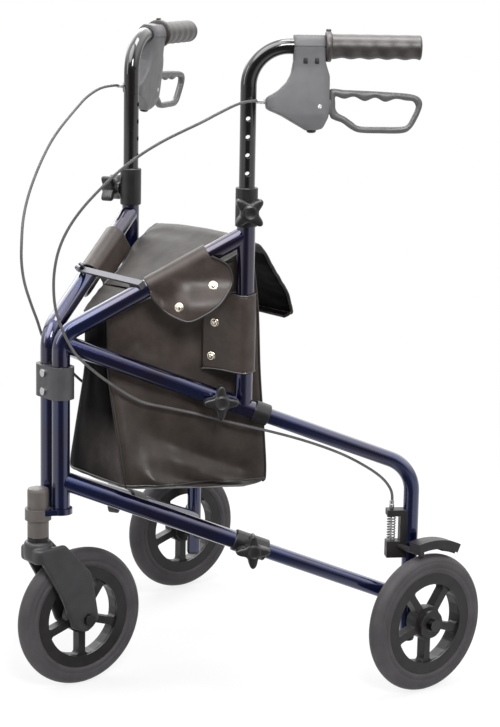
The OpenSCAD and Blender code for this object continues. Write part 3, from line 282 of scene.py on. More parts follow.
def piece(name, verts, faces, mat, slot, sharp=40.0):
    """A mesh object with its normals outward and a material. slot is not used."""
    bm = bmesh.new()
    made = [bm.verts.new(v) for v in verts]
    for f in faces:
        bm.faces.new([made[i] for i in f])
    bmesh.ops.recalc_face_normals(bm, faces=bm.faces)
    me = bpy.data.meshes.new(name)
    bm.to_mesh(me)
    bm.free()
    me.materials.append(mat)
    me.shade_smooth()
    me.set_sharp_from_angle(angle=radians(sharp))
    me.update()
    ob = bpy.data.objects.new(name, me)
    scene.collection.objects.link(ob)
    return ob


def both_sides(name, mesh, mat, slot, body, sharp=40.0, replaces=None):
    """A piece for each side from a mesh in a side frame's own directions in mm."""
    made = []
    for label, sg in SIDES:
        ob = piece(f"{label}_{name}", [side(*v, sg) for v in mesh[0]], mesh[1], mat, slot, sharp)
        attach(ob, f"{label}_{body}")
        if replaces:
            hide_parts(f"{label}_{replaces}")
        made.append(ob)
    return made


def joined(*meshes):
    """Several meshes as one list of vertices and one of faces."""
    verts, faces = [], []
    for v, f in meshes:
        faces += [[i + len(verts) for i in face] for face in f]
        verts += list(v)
    return verts, faces


def placed(mesh, function):
    """A mesh with a function of its coordinates applied to each vertex."""
    return [function(*v) for v in mesh[0]], mesh[1]


def settled(ob):
    """Applies the object's modifiers to its mesh."""
    deps = bpy.context.evaluated_depsgraph_get()
    me = bpy.data.meshes.new_from_object(ob.evaluated_get(deps))
    old = ob.data
    ob.modifiers.clear()
    ob.data = me
    bpy.data.meshes.remove(old)


def rings_mesh(rings, loop=False):
    """Vertices and faces of a run of rings, all of one count, with closed ends or joined in a loop."""
    n = len(rings[0])
    verts = [p for r in rings for p in r]
    last = len(rings) if loop else len(rings) - 1
    faces = []
    for i in range(last):
        a, b = i * n, ((i + 1) % len(rings)) * n
        faces += [(a + k, a + (k + 1) % n, b + (k + 1) % n, b + k) for k in range(n)]
    if not loop:
        faces.append(tuple(reversed(range(n))))
        faces.append(tuple(range(last * n, len(rings) * n)))
    return verts, faces


def smooth_path(points, steps):
    """Catmull-Rom curve through points, with steps points in each span."""
    pts = [Vector(p) for p in points]
    ext = [2 * pts[0] - pts[1]] + pts + [2 * pts[-1] - pts[-2]]
    out = []
    for i in range(1, len(ext) - 2):
        a, b, c, d = ext[i - 1:i + 3]
        for k in range(steps):
            t = k / steps
            bend = (2 * a - 5 * b + 4 * c - d) * t * t + (3 * b - a - 3 * c + d) * t ** 3
            out.append(0.5 * (2 * b + (c - a) * t + bend))
    return out + [pts[-1]]


def closed_curve(points, steps):
    """Catmull-Rom curve round a ring of points."""
    n = len(points)
    ext = [points[(i - 2) % n] for i in range(n + 5)]
    return smooth_path(ext, steps)[2 * steps:(n + 2) * steps]


def circle(steps):
    """Cosine and sine of even steps round a circle."""
    angles = [2 * pi * k / steps for k in range(steps)]
    return [(cos(a), sin(a)) for a in angles]


def tube(path, radius, sides=12, start=Vector((1, 0, 0)), loop=False):
    """Rings round a path."""
    n = len(path)
    rings, s = [], start
    for i, p in enumerate(path):
        ahead = path[(i + 1) % n] if loop else path[min(i + 1, n - 1)]
        behind = path[i - 1] if loop or i else path[0]
        t = (ahead - behind).normalized()
        s = (s - t * s.dot(t)).normalized()
        c = t.cross(s)
        rings.append([p + radius * (x * s + y * c) for x, y in circle(sides)])
    return rings


def lathe(profile, centre, axis, steps, turn=None):
    """A profile of (radius, along) turned about an axis. turn gives a radius by place and direction."""
    axis = Vector(axis).normalized()
    s = axis.orthogonal().normalized()
    c = axis.cross(s)
    ways = [x * s + y * c for x, y in circle(steps)]
    rings = []
    for r, h in profile:
        middle = Vector(centre) + axis * h
        rings.append([middle + (turn(r, h, w) if turn else r) * w for w in ways])
    return rings_mesh(rings)


def turned(section, centre, axis, steps):
    """A closed section of (radius, along) turned about an axis, such as a tyre."""
    verts, faces = lathe(section + section[:1], centre, axis, steps)
    n = len(section) * steps
    return verts[:n], [[i % n for i in f] for f in faces if len(f) == 4]


def plate(outline, thick, bevel, segments=3):
    """A bevelled plate from an outline of (x, y), centred on z, as vertices and faces."""
    bm = bmesh.new()
    face = bm.faces.new([bm.verts.new((x, y, -thick / 2)) for x, y in outline])
    up = bmesh.ops.extrude_face_region(bm, geom=[face])["geom"]
    bmesh.ops.translate(bm, verts=[g for g in up if isinstance(g, bmesh.types.BMVert)], vec=(0, 0, thick))
    bmesh.ops.recalc_face_normals(bm, faces=bm.faces)
    rim = [e for e in bm.edges if abs(e.verts[0].co.z - e.verts[1].co.z) < thick / 4]
    bmesh.ops.bevel(bm, geom=rim, offset=bevel, segments=segments, profile=0.5, affect="EDGES",
                    clamp_overlap=True)
    bm.verts.index_update()
    verts = [v.co.copy() for v in bm.verts]
    faces = [[v.index for v in f.verts] for f in bm.faces]
    bm.free()
    return verts, faces


def box(half_x, half_y):
    """The outline of a rectangle about the origin."""
    return [(-half_x, -half_y), (half_x, -half_y), (half_x, half_y), (-half_x, half_y)]


def rounded(points, radius, steps=5):
    """An outline of (x, y) with its corners rounded."""
    pts = [Vector(p).to_2d() for p in points]
    out = []
    for i, b in enumerate(pts):
        a, c = pts[i - 1], pts[(i + 1) % len(pts)]
        p, q = (a - b).normalized(), (c - b).normalized()
        half = acos(max(-1, min(1, p.dot(q)))) / 2
        reach = min(radius / tan(half), 0.46 * (a - b).length, 0.46 * (c - b).length)
        start, end = b + p * reach, b + q * reach
        for k in range(steps + 1):
            t = k / steps
            out.append((start * (1 - t) ** 2 + 2 * b * t * (1 - t) + end * t * t)[:])
    return out


def pad(half_x, half_y, corner, thick, bevel, steps=5, segments=3):
    """A bevelled rectangular plate with round corners."""
    return plate(rounded(box(half_x, half_y), corner, steps), thick, bevel, segments)


def squared(share, power):
    """A sine or cosine pushed outward, so that a round section becomes squarer."""
    return copysign(abs(share) ** power, share)


# Camera: place in metres, azimuth, elevation and roll in degrees, focal length and picture height in pixels

CAMERA_AT = (2.4337, -1.7557, 1.0426)
CAMERA_TURNS = (52.62, 11.21, 1.04)
FOCAL_PX, PICTURE_PX, SENSOR_MM = 2101.06, 727, 36


def make_camera():
    az, el, roll = (radians(v) for v in CAMERA_TURNS)
    ahead = Vector((-sin(az) * cos(el), cos(az) * cos(el), -sin(el)))
    right = Vector((cos(az), sin(az), 0))
    up = right.cross(ahead)
    cam_x = cos(roll) * right + sin(roll) * up
    cam_y = cos(roll) * up - sin(roll) * right
    data = bpy.data.cameras.new("camera")
    data.sensor_fit = "VERTICAL"
    data.sensor_height = SENSOR_MM
    data.lens = FOCAL_PX * SENSOR_MM / PICTURE_PX
    cam = bpy.data.objects.new("camera", data)
    turn = Matrix((cam_x, cam_y, -ahead)).transposed().to_4x4()
    cam.matrix_world = Matrix.Translation(CAMERA_AT) @ turn
    scene.collection.objects.link(cam)
    scene.camera = cam


make_camera()

# Surroundings: the level of diffuse light, and the levels that gloss shows low and high up

AMBIENT, HORIZON, OVERHEAD, SKY_BAND = 0.3, 0.8, 2.6, (0.05, 0.55)
# The side towards DARK_WAY is a dim room in gloss, both the sky and the floor
DARK_WAY, DIM = (0.779, -0.595, 0.194), 0.1
DARK_SKY_BAND, DARK_FLOOR_BAND = (0.45, 0.92), (0.72, 0.93)
# A soft light over the front that only gloss shows, for the streaks along the upper tubes
SHEEN_WAY, SHEEN, SHEEN_BAND = (0.2, -0.614, 0.764), 5.5, (0.88, 0.945)


def make_world():
    world = bpy.data.worlds.new("studio")
    scene.world = world
    n = Nodes(world, "Generated")
    rise = n.add("SeparateXYZ", {0: n.coord})["Z"]
    sky = n.spread(rise, HORIZON, OVERHEAD, *SKY_BAND, "SMOOTHSTEP")
    room = n.spread(n.dot(n.coord, DARK_WAY), 1.0, DIM, *DARK_SKY_BAND, "SMOOTHSTEP")
    patch = n.spread(n.dot(n.coord, SHEEN_WAY), 0.0, SHEEN, *SHEEN_BAND, "SMOOTHSTEP")
    shown = n.calc("ADD", n.calc("MULTIPLY", sky, room), patch)
    by_eye, by_gloss = n.ray_kinds()
    level = n.spread(by_eye, n.spread(by_gloss, AMBIENT, shown, 0, 1), 1.0, 0, 1)
    background = n.tree.nodes["Background"]
    n.set(background.inputs["Color"], (1, 1, 1))
    n.set(background.inputs["Strength"], level)


make_world()

# The floor is white where it is seen, and takes the object's shadow close by

FLOOR_HALF = 9.0
# Distances from the middle between which the shadow fades out
SHADOW_BAND = (0.7, 2.0)


def make_floor():
    n = new_material("floor_white")
    away = n.add("VectorMath", {0: n.coord}, operation="LENGTH")["Value"]
    near = n.spread(away, 1.0, 0.0, *SHADOW_BAND, "SMOOTHSTEP")
    lit = n.add("BsdfDiffuse", {"Color": n.mix(near, (0.0, 0.0, 0.0), (0.26, 0.26, 0.26))})[0]
    glow = n.add("Emission", {"Strength": n.spread(near, 1.0, 0.8, 0.0, 1.0)})[0]
    shown = n.add("AddShader", {0: lit, 1: glow})[0]
    pale = n.mix(n.noise(scale=1.4, detail=2), (0.8, 0.8, 0.8), (0.84, 0.84, 0.84))
    bounce = n.add("BsdfDiffuse", {"Color": pale})[0]
    bearing = n.add("VectorMath", {0: n.coord}, operation="NORMALIZE")["Vector"]
    mirror = n.spread(n.dot(bearing, DARK_WAY), 1.0, DIM, *DARK_FLOOR_BAND)
    mirrored = n.add("Emission", {"Strength": mirror})[0]
    by_eye, by_gloss = n.ray_kinds()
    others = n.add("MixShader", {0: by_gloss, 1: bounce, 2: mirrored})[0]
    both = n.add("MixShader", {0: by_eye, 1: others, 2: shown})[0]
    n.set(n.tree.nodes["Material Output"].inputs["Surface"], both)
    corners = [(x, y, 0) for x, y in box(FLOOR_HALF, FLOOR_HALF)]
    floor = piece("floor", corners, [(0, 1, 2, 3)], n.owner, "steel")


make_floor()


def softbox(name, at, aim, size, watts):
    data = bpy.data.lights.new(name, "AREA")
    data.shape = "RECTANGLE"
    data.size, data.size_y = size
    data.energy = watts
    lamp = bpy.data.objects.new(name, data)
    lamp.location = at
    lamp.rotation_euler = (Vector(aim) - Vector(at)).to_track_quat("-Z", "Y").to_euler()
    scene.collection.objects.link(lamp)


softbox("key", (2.3, -1.1, 2.1), (0, 0, 0.5), (0.8, 0.8), 46)
softbox("back", (-2.3, 0.5, 2.4), (0, 0, 0.5), (2.6, 2.6), 40)
softbox("top", (0.3, 0.2, 3.0), (0, 0, 0.4), (0.8, 1.2), 34)
softbox("front", (-0.9, -2.8, 1.5), (0, 0, 0.5), (0.5, 1.4), 10)

# Brake cables with their ferrules and wires

CABLE_ROUTE = [
    (22.5, 273.5, 838), (29.3, 256, 839), (41, 235, 835.5), (49.5, 210, 824.5), (52, 184, 811),
    (52, 157, 798), (52, 130, 784), (52, 103, 767), (51, 76, 746), (50, 50, 721), (48, 26, 694),
    (45, 8, 667), (41, -4, 639), (38, -10, 610), (33, -11, 582), (25, -8, 554), (19, 0, 528),
    (17, 10, 506), (14, 22, 487), (8, 40, 469), (2, 68, 446), (0, 110, 420), (0, 150, 410),
    (0, 190, 401), (0, 235, 389), (0, 280, 378), (0, 325, 366), (0, 365, 353), (0, 400, 339),
    (0, 430, 323), (0, 452, 308), (0, 465, 294), (0, 471, 280), (0, 471, 260),
]
CABLE_R, WIRE_R, WIRE_SIDES = 2.0, 0.9, 8
# Heights between which the cable would go over from the frame to the handle; the points made from them are
# not used
CABLE_BLEND = (500, 828)
FERRULE = [(2.5, 0), (3.4, 0), (3.6, 0.3), (3.6, 6), (3.2, 6.4), (3.2, 11), (2.9, 12), (2.5, 12)]
WIRE_LEVELS = (213.4, 230, 245, 260)
for label, sg in SIDES:
    route = [side(*p, sg) for p in CABLE_ROUTE]
    cover = rings_mesh(tube(smooth_path(route, steps=5), CABLE_R * MM))
    ob = piece(f"{label}_cable", *cover, CABLE, "cable_black")
    start, end = (side(0, 0, z, sg) for z in CABLE_BLEND)
    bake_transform(ob)
    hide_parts(f"{label}_brake_cable")
    for tip, body, at, to in (("upper", "handle", 0, 1), ("lower", "frame", -1, -2)):
        profile = [(r * MM, h * MM) for r, h in FERRULE]
        ferrule = lathe(profile, route[at], route[to] - route[at], steps=24)
        ob = piece(f"{label}_{tip}_ferrule", *ferrule, STEEL, "steel")
        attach(ob, f"{label}_{body}")
    wire = tube([side(0, BRAKE_U, z, sg) for z in WIRE_LEVELS], WIRE_R * MM, WIRE_SIDES)
    ob = piece(f"{label}_brake_wire", *rings_mesh(wire), STEEL, "steel")
    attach(ob, f"{label}_frame")

# Brake springs

SPRING_FOOT, SPRING_RISE, SPRING_R = 213.3, 34.6, 5.6
SPRING_TURNS, TURN_STEPS = 9, 24
for label, sg in SIDES:
    coil = []
    last = SPRING_TURNS * TURN_STEPS
    for k in range(last + 1):
        a = 2 * pi * k / TURN_STEPS
        z = SPRING_FOOT + WIRE_R + SPRING_RISE * k / last
        coil.append(side(SPRING_R * cos(a), BRAKE_U + SPRING_R * sin(a), z, sg))
    wire = tube(coil, WIRE_R * MM, WIRE_SIDES, UP)
    ob = piece(f"{label}_return_spring", *rings_mesh(wire), SPRING_STEEL, "steel")
    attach(ob, f"{label}_frame")
    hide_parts(f"{label}_brake_spring")

# Tyres: half of the section from the rim to the tread, as radius and half width

TYRE_HALF = [
    (74.1, 11.4), (75.6, 11.8), (76.4, 12.9), (78.0, 13.35), (80.2, 13.35), (81.0, 12.7), (81.8, 12.45),
    (82.9, 12.45), (83.7, 12.8), (84.8, 13.3), (88.2, 13.25), (89.2, 12.8), (90.0, 12.35), (91.0, 12.25),
    (91.8, 12.3), (93.2, 11.7), (95.4, 10.2), (97.4, 8.0), (98.8, 5.5), (99.6, 2.9), (100.0, 1.0),
]
# How far the rear wheels stand outside the rear legs
REAR_WHEEL_OUT = 37.0
rear_x = POST_X + REAR_LEG_U * sin(SPLAY) + REAR_WHEEL_OUT
rear_y = POST_Y + REAR_LEG_U * cos(SPLAY)
WHEELS = {"front": (0, STEM_Y + FORK_TRAIL), "left": (rear_x, rear_y), "right": (-rear_x, rear_y)}
half = [(r * MM, w * MM) for r, w in TYRE_HALF]
section = half + [(r, -w) for r, w in reversed(half)]
for label, (x, y) in WHEELS.items():
    mesh = turned(section, Vector((x, y, WHEEL_R)) * MM, (1, 0, 0), steps=144)
    ob = piece(f"{label}_rubber", *mesh, TYRE, "tyre", sharp=50)
    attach(ob, f"{label}_wheel")
    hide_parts(f"{label}_tyre")


# Handles


def on_handle(off, u, z, turn=0.0):
    """A point of a handle, which is turned out about its upright, and a brake also about its grip."""
    c, s = cos(turn), sin(turn)
    off, z = off * c + (HANDLE_Z - z) * s, HANDLE_Z + off * s - (HANDLE_Z - z) * c
    c, s = cos(HANDLE_TURN), sin(HANDLE_TURN)
    return off * c + (u - UPRIGHT_U) * s, UPRIGHT_U + (u - UPRIGHT_U) * c - off * s, z


def on_brake(off, u, z):
    return on_handle(off, u, z, BRAKE_TURN)


# Grips

GRIP_START, GRIP_L, GRIP_R, GRIP_RINGS = 366.0, 123.0, 17.0, 60
# Radius and place along the grip: the flange at its start, and the tip back from its end
GRIP_FLANGE = [
    (12.0, -8), (19.4, -8), (20.6, -7.4), (21.0, -6.4), (21.0, -1.8), (20.4, -0.6), (19.0, 0.0), (17.2, 0.6),
]
GRIP_TIP = [(16.8, 2.4), (16.2, 1.2), (15.0, 0.4), (13.0, 0.0), (0.5, 0.0)]
# Finger grooves: count, shift, depth on top and how much more below, and where they start and end
GROOVES, GROOVE_SHIFT, GROOVE_TOP, GROOVE_MORE = 5, 0.1, 0.3, 1.5
GROOVE_START, GROOVE_END = 0.02, 0.97
# Nub on the flange: half sizes, corner, thickness and bevel, then its place
NUB = (3.0, 3.5, 2.0, 4.0, 1.2)
NUB_BACK, NUB_RISE = 4.2, 21.6


def grip_radius(r, h, way):
    """Finger grooves, deep on the underside and slight on top."""
    share = h / GRIP_L
    if not GROOVE_START < share < GROOVE_END:
        return r
    under = 0.5 - 0.5 * way.z
    groove = 0.5 - 0.5 * cos(2 * pi * (GROOVES * share - GROOVE_SHIFT))
    return r - (GROOVE_TOP + GROOVE_MORE * under) * groove


profile = GRIP_FLANGE + [(GRIP_R, GRIP_L * k / GRIP_RINGS) for k in range(1, GRIP_RINGS - 1)]
profile += [(r, GRIP_L - back) for r, back in GRIP_TIP]
grip = lathe(profile, (0, GRIP_START, HANDLE_Z), (0, 1, 0), steps=72, turn=grip_radius)
nub = placed(pad(*NUB), lambda x, y, z: (x, GRIP_START - NUB_BACK + y, HANDLE_Z + NUB_RISE + z))
cover = placed(joined(grip, nub), on_handle)
both_sides("grip_cover", cover, GRIP, "grip_rubber", "handle", sharp=50, replaces="grip")

# Brake housings

HOUSING_U, HOUSING_Z, HOUSING_L, HOUSING_H = 277.0, 798.0, 87.0, 129.0
# Share of the height, then share of the length, of the housing's front and back edges
HOUSING_FRONT = [
    (0, 0.63), (0.03, 0.56), (0.16, 0.23), (0.22, 0.01), (0.26, 0), (0.34, 0.005), (0.415, 0.19),
    (0.51, 0.33), (0.6, 0.395), (0.73, 0.43), (1, 0.43),
]
HOUSING_BACK = [(0, 0.78), (0.02, 0.9), (0.14, 0.985), (0.25, 1), (0.57, 1), (0.72, 0.93), (1, 0.925)]
# Share of the height, then half of the width
HOUSING_HALF = [
    (0, 7), (0.06, 12), (0.16, 15), (0.5, 15), (0.66, 14.2), (0.8, 15.6), (0.885, 17), (0.94, 15.2),
    (0.98, 11.5), (1, 8),
]
HOUSING_CORNER, HOUSING_RINGS, HOUSING_SHARP = 5.5, 53, 35
# Seam across the clamp: height, half height and half height with its edges as shares, and depth
SEAM_AT, SEAM_HALF, SEAM_EDGE, SEAM_DEPTH = 0.868, 0.0035, 0.0045, 0.8
# Slot that the lever turns in
SLOT_AT, SLOT_R, SLOT_HALF = (0, 353, 833), 31.0, 5.8
# Bolt pockets: half sizes, corner, thickness and bevel, then their places
POCKET = (3.0, 4.2, 1.2, 1.0, 0.35)
POCKET_AT, POCKET_OUT, POCKET_Z = (330.0, 345.5), 14.6, 891.5
FOOT_AT = (0, 340, 804)
FOOT = [(5.6, 0), (6.6, 1), (6.8, 5), (6.0, 8), (3.4, 9.2), (0.4, 9.4)]


def housing_ring(share):
    tables = (HOUSING_FRONT, HOUSING_BACK, HOUSING_HALF)
    front, back, w = (np.interp(share, *zip(*t)) for t in tables)
    seam = SEAM_DEPTH if abs(share - SEAM_AT) < (SEAM_HALF + SEAM_EDGE) / 2 else 0.0
    u0, u1, w = HOUSING_U + front * HOUSING_L + seam, HOUSING_U + back * HOUSING_L - seam, w - seam
    outline = rounded([(-w, u0), (w, u0), (w, u1), (-w, u1)], HOUSING_CORNER, steps=4)
    return [Vector((x, u, HOUSING_Z + share * HOUSING_H)) for x, u in outline]


levels = list(np.linspace(0, 1, HOUSING_RINGS))
levels += [SEAM_AT + sg * step for sg in (-1, 1) for step in (SEAM_HALF, SEAM_EDGE)]
housing = placed(rings_mesh([housing_ring(s) for s in sorted(levels)]), on_brake)
slot_profile = [(0.2, -SLOT_HALF), (SLOT_R, -SLOT_HALF), (SLOT_R, SLOT_HALF), (0.2, SLOT_HALF)]
slot = placed(lathe(slot_profile, SLOT_AT, (1, 0, 0), steps=48), on_brake)
housings = both_sides("brake_body", housing, PALE_GREY, "housing_grey", "handle", HOUSING_SHARP,
                      replaces="brake_housing")
for ob, (_, sg) in zip(housings, SIDES):
    ob.modifiers.new("smooth", "SMOOTH").iterations = 2
    settled(ob)
    tool = piece("slot_tool", [side(*v, sg) for v in slot[0]], slot[1], MOULDED, "moulded_black")
    cut = ob.modifiers.new("slot", "BOOLEAN")
    cut.operation, cut.object, cut.solver = "DIFFERENCE", tool, "EXACT"
    settled(ob)
    bpy.data.objects.remove(tool)
    ob.data.set_sharp_from_angle(angle=radians(HOUSING_SHARP))
for k, u in enumerate(POCKET_AT):
    pocket = placed(pad(*POCKET), lambda x, y, z: on_brake(POCKET_OUT + z, u + x, POCKET_Z + y))
    both_sides(f"bolt_pocket_{k + 1}", pocket, MOULDED, "moulded_black", "handle")
foot = placed(lathe(FOOT, FOOT_AT, (0, 0, -1), steps=32), on_brake)
both_sides("housing_foot", foot, MOULDED, "moulded_black", "handle")

# Brake levers: outer and inner edge of the loop, along the frame and height

LEVER_EDGE = [
    ((365, 854), (373, 844.5)), ((384, 853.8), (384.5, 841.6)), ((398, 853.4), (398, 844.6)),
    ((412, 853), (412.5, 838.9)), ((427, 852.5), (427, 843.6)), ((441, 851.8), (440.5, 838.3)),
    ((456, 851), (455, 842.4)), ((472, 849.8), (469, 840.4)), ((484, 847), (478, 839.5)),
    ((490.5, 841), (481.8, 835.5)), ((491, 831.5), (482.2, 829.5)), ((484.6, 815.5), (477, 818)),
    ((476, 802), (471, 808)), ((464, 796), (462, 805)), ((435, 795.4), (435, 804.4)),
    ((407, 796), (406, 805)), ((394.5, 800.5), (395.6, 811)), ((382, 809), (386, 817.5)),
    ((372, 812.6), (377, 822)), ((365.5, 817.5), (373, 828)), ((364.5, 835), (372.5, 836)),
]
LEVER_HALF, LEVER_SQUARE, LEVER_SIDES = 4.9, 0.7, 16
# Neck from the loop to the pin: outline, corner, thickness and bevel
NECK, NECK_CORNER, NECK_T, NECK_BEVEL = [(350, 823), (370, 819), (370, 842), (350, 837)], 4, 9, 1.5
PIN_AT = (0, 350, 830)
PIN = [(0.3, -15.2), (2.6, -15.2), (3, -14.8), (3, 14.8), (2.6, 15.2), (0.3, 15.2)]
outer, inner = (closed_curve([Vector(pair[k]) for pair in LEVER_EDGE], steps=6) for k in (0, 1))
rings = []
for a, b in zip(outer, inner):
    ring = []
    for c, s in circle(LEVER_SIDES):
        p = (a + b) / 2 + (a - b) / 2 * squared(c, LEVER_SQUARE)
        ring.append(Vector((LEVER_HALF * squared(s, LEVER_SQUARE), p.x, p.y)))
    rings.append(ring)
neck = placed(plate(rounded(NECK, NECK_CORNER), NECK_T, NECK_BEVEL), lambda x, y, z: (z, x, y))
lever = placed(joined(rings_mesh(rings, loop=True), neck), on_brake)
both_sides("lever_loop", lever, LEVER_GREY, "lever_grey", "brake_lever", sharp=45, replaces="brake_lever")
pin = placed(lathe(PIN, PIN_AT, (1, 0, 0), steps=24), on_brake)
both_sides("lever_pin", pin, STEEL, "steel", "brake_lever")

# Knobs: place along the frame, height, seat and turn of each

LEG_KNOB_U, BRACE_KNOB_U = 220.0, 268.0
KNOBS = {
    "height_knob": (UPRIGHT_U, 688.0, 15.5, 45),
    "leg_knob": (LEG_KNOB_U, LEG_Z - LEG_KNOB_U * tan(LEG_SLOPE), 12.7, 0),
    "brace_knob": (BRACE_KNOB_U, BRACE_Z - BRACE_KNOB_U * tan(LEG_SLOPE), 15.5, 0),
}
KNOB_GAP, KNOB_T, KNOB_BEVEL, KNOB_STEPS = 0.3, 18.0, 3.2, 96
# Radius between the four arms, how far these stand out, and how pointed they are
STAR_R, STAR_ARM, STAR_POWER = 12.6, 11.9, 1.7
KNOB_CROWN = [(11, 0), (10.4, 1.6), (8, 2.4), (7.4, 2.0), (0.4, 2.0)]
KNOB_NECK, KNOB_NECK_L = [(7.6, 0), (9, 0.6), (9, 3.4), (8.2, 4), (8.2, 7.6)], 7.0
for body, (u, z, seat, turn) in KNOBS.items():
    star = []
    for k in range(KNOB_STEPS):
        a = 2 * pi * k / KNOB_STEPS
        r = STAR_R + STAR_ARM * (0.5 + 0.5 * cos(4 * a)) ** STAR_POWER
        a += radians(turn)
        star.append((r * cos(a), r * sin(a)))
    base = seat + KNOB_GAP
    head = placed(plate(star, KNOB_T, KNOB_BEVEL, segments=4),
                  lambda x, y, w: (base + KNOB_NECK_L + KNOB_T / 2 + w, u + x, z + y))
    crown = lathe(KNOB_CROWN, (base + KNOB_NECK_L + KNOB_T, u, z), (1, 0, 0), steps=40)
    neck = lathe(KNOB_NECK, (base, u, z), (1, 0, 0), steps=40)
    both_sides(f"{body}_head", joined(head, crown, neck), KNOB, "fitting_grey", body, sharp=38, replaces=body)

# Caster fork: a leg's outline as shares of the trail and the rise, crown and bridge

FORK_RISE = 122.0
FORK_LEG = [
    (-0.22, 0.93), (-0.1, 0.76), (0.4, 0.26), (0.62, -0.08), (0.98, -0.16), (1.27, -0.02), (1.16, 0.34),
    (1.08, 0.56), (0.44, 0.95),
]
FORK_CORNER, FORK_LEG_T, FORK_LEG_BEVEL, FORK_LEG_OUT = 10, 8, 2.6, 21.5
FORK_CROWN = [
    (11, 196), (18, 196), (19.6, 197.5), (20.2, 202), (20.2, 216), (19.4, 219.5), (17.4, 221.6),
    (15.4, 222), (8.2, 222),
]
# Bridge: half sizes, corner, thickness and bevel, then its height
BRIDGE, BRIDGE_Z = (24.6, 17.0, FORK_CORNER, 22, 4.5), 203
FORK_VOXEL, FORK_SMOOTHING = 1.3, 7
points = [(STEM_Y + a * FORK_TRAIL, WHEEL_R + b * FORK_RISE) for a, b in FORK_LEG]
leg = plate(rounded(points, FORK_CORNER, steps=6), FORK_LEG_T, FORK_LEG_BEVEL, segments=4)
legs = [placed(leg, lambda x, y, z: (sg * (FORK_LEG_OUT + z), x, y)) for sg in (-1, 1)]
crown = lathe(FORK_CROWN, (0, STEM_Y, 0), (0, 0, 1), steps=56)
bridge = placed(pad(*BRIDGE, steps=6, segments=4), lambda x, y, z: (x, STEM_Y + y, BRIDGE_Z + z))
mesh = placed(joined(*legs, crown, bridge), lambda x, y, z: Vector((x, y, z)) * MM)
ob = piece("fork_casting", *mesh, FORK_GREY, "fork_grey", sharp=38)
blend = ob.modifiers.new("one_casting", "REMESH")
blend.mode, blend.voxel_size = "VOXEL", FORK_VOXEL * MM
ob.modifiers.new("soft", "SMOOTH").iterations = FORK_SMOOTHING
settled(ob)
ob.data.shade_smooth()
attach(ob, "caster")
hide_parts("caster_fork")

# Bag: its front, foot, length, width and height

BAG_Y, BAG_Z = POST_Y + 67.0, 288.0
BAG_L, BAG_W, BAG_H = 190.0, 300.0, 350.0


def bag_piece(name, mesh, mat, body="front_column"):
    """A piece of the bag, from a mesh in mm, attached to a body and given a mesh of its own."""
    ob = piece(name, [Vector(v) * MM for v in mesh[0]], mesh[1], mat, "bag_vinyl", sharp=60)
    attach(ob, body)
    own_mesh(ob)
    return ob


# Bag body: rows from the bottom up, of front, back, front width, back width, front height and back height

BAG_ROWS = [
    (0.1, 0.94, 0.36, 0.86, 0.008, 0.002), (0.02, 1.015, 0.465, 0.98, 0.026, 0.028),
    (0.0, 1.035, 0.48, 1.00, 0.058, 0.065), (0.0, 1.03, 0.39, 0.975, 0.2, 0.22),
    (0.0, 1.015, 0.22, 0.92, 0.46, 0.47), (0.0, 1.005, 0.2, 0.885, 0.58, 0.74),
    (0.0, 0.97, 0.2, 0.84, 0.7, 0.975),
]
ROW_STEPS, CORNER_STEPS = 11, 6
# Steps along the front, left side, back and right side
EDGE_STEPS = (12, 44, 40, 44)
# Reach of the round corners: at the back, at the front's top, and how much more at the front's foot
BACK_CORNER, FRONT_CORNER, FRONT_CORNER_MORE = 16.0, 9.0, 15.0
BAG_WALL, INNER_FOLDS, RIM_RISE = 3.0, 0.9, 1.5
# The bottom sags in rings: the first inset, the step between rings, and the drop at each
SAG_RINGS, SAG_INSET, SAG_STEP, SAG_DROP = 4, 12.0, 14.0, 1.6
# The inside lining starts at this row
LINING_ROW = 7
FRONT_BULGE, BACK_BULGE, PANEL_WAVE = 1.0, 5.0, 1.5
# Waves of a side panel: rise in mm, and scale along the side and up it
SLOW_WAVE, SLOW_SCALE = 2.2, (2.1, 4.0)
FINE_WAVE, FINE_SCALE = 0.9, (7, 11)
# How fast waves and folds set in from the ends, the foot and the top, and the gain on both
END_FADE, FOOT_FADE, TOP_FADE, FOLD_GAIN = 6, 9, 5, 1.5
# Folds of a side panel: start and end as (share of the side, share of the height), half width, rise in mm
FOLDS = [
    ((-0.05, 0.57), (1.05, 0.34), 0.04, -4.5), ((0.02, 0.4), (0.7, 0.05), 0.05, 4.0),
    ((0.3, 0.36), (1.00, 0.1), 0.045, -3.5), ((0.55, 0.34), (1.02, 0.2), 0.035, 3.5),
    ((0.1, 0.42), (0.13, 0.08), 0.06, 3.5), ((0.24, 0.3), (0.26, 0.06), 0.05, -2.5),
    ((0.05, 0.78), (0.6, 0.55), 0.05, 3.0), ((0.5, 0.92), (0.85, 0.48), 0.06, -3.0),
]
# A face is the bag's front if it looks forward this much, this close to the front; it takes the near-black
# vinyl, partly painted shade
FRONT_FACING, FRONT_DEPTH = -0.93, 30.0


def fold_rise(s, v, shift):
    """Outward rise of a side panel, from its folds, a slow wave and a fine one."""
    p = Vector((s, v))
    rise = SLOW_WAVE * noise.noise(Vector((SLOW_SCALE[0] * s + shift, SLOW_SCALE[1] * v, shift)))
    rise += FINE_WAVE * noise.noise(Vector((FINE_SCALE[0] * s, FINE_SCALE[1] * v, 3 + shift)))
    for a, b, half, height in FOLDS:
        a, b = Vector(a), Vector(b)
        t = max(0.0, min(1.0, (p - a).dot(b - a) / (b - a).length_squared))
        gap = (p - a - (b - a) * t).length / half
        rise += height * exp(-gap * gap) * sin(pi * min(0.92, max(0.08, t))) ** 0.5
    ends = min(1.0, END_FADE * s, END_FADE * (1 - s))
    return FOLD_GAIN * rise * ends * min(1.0, FOOT_FADE * v, TOP_FADE * (1 - v))


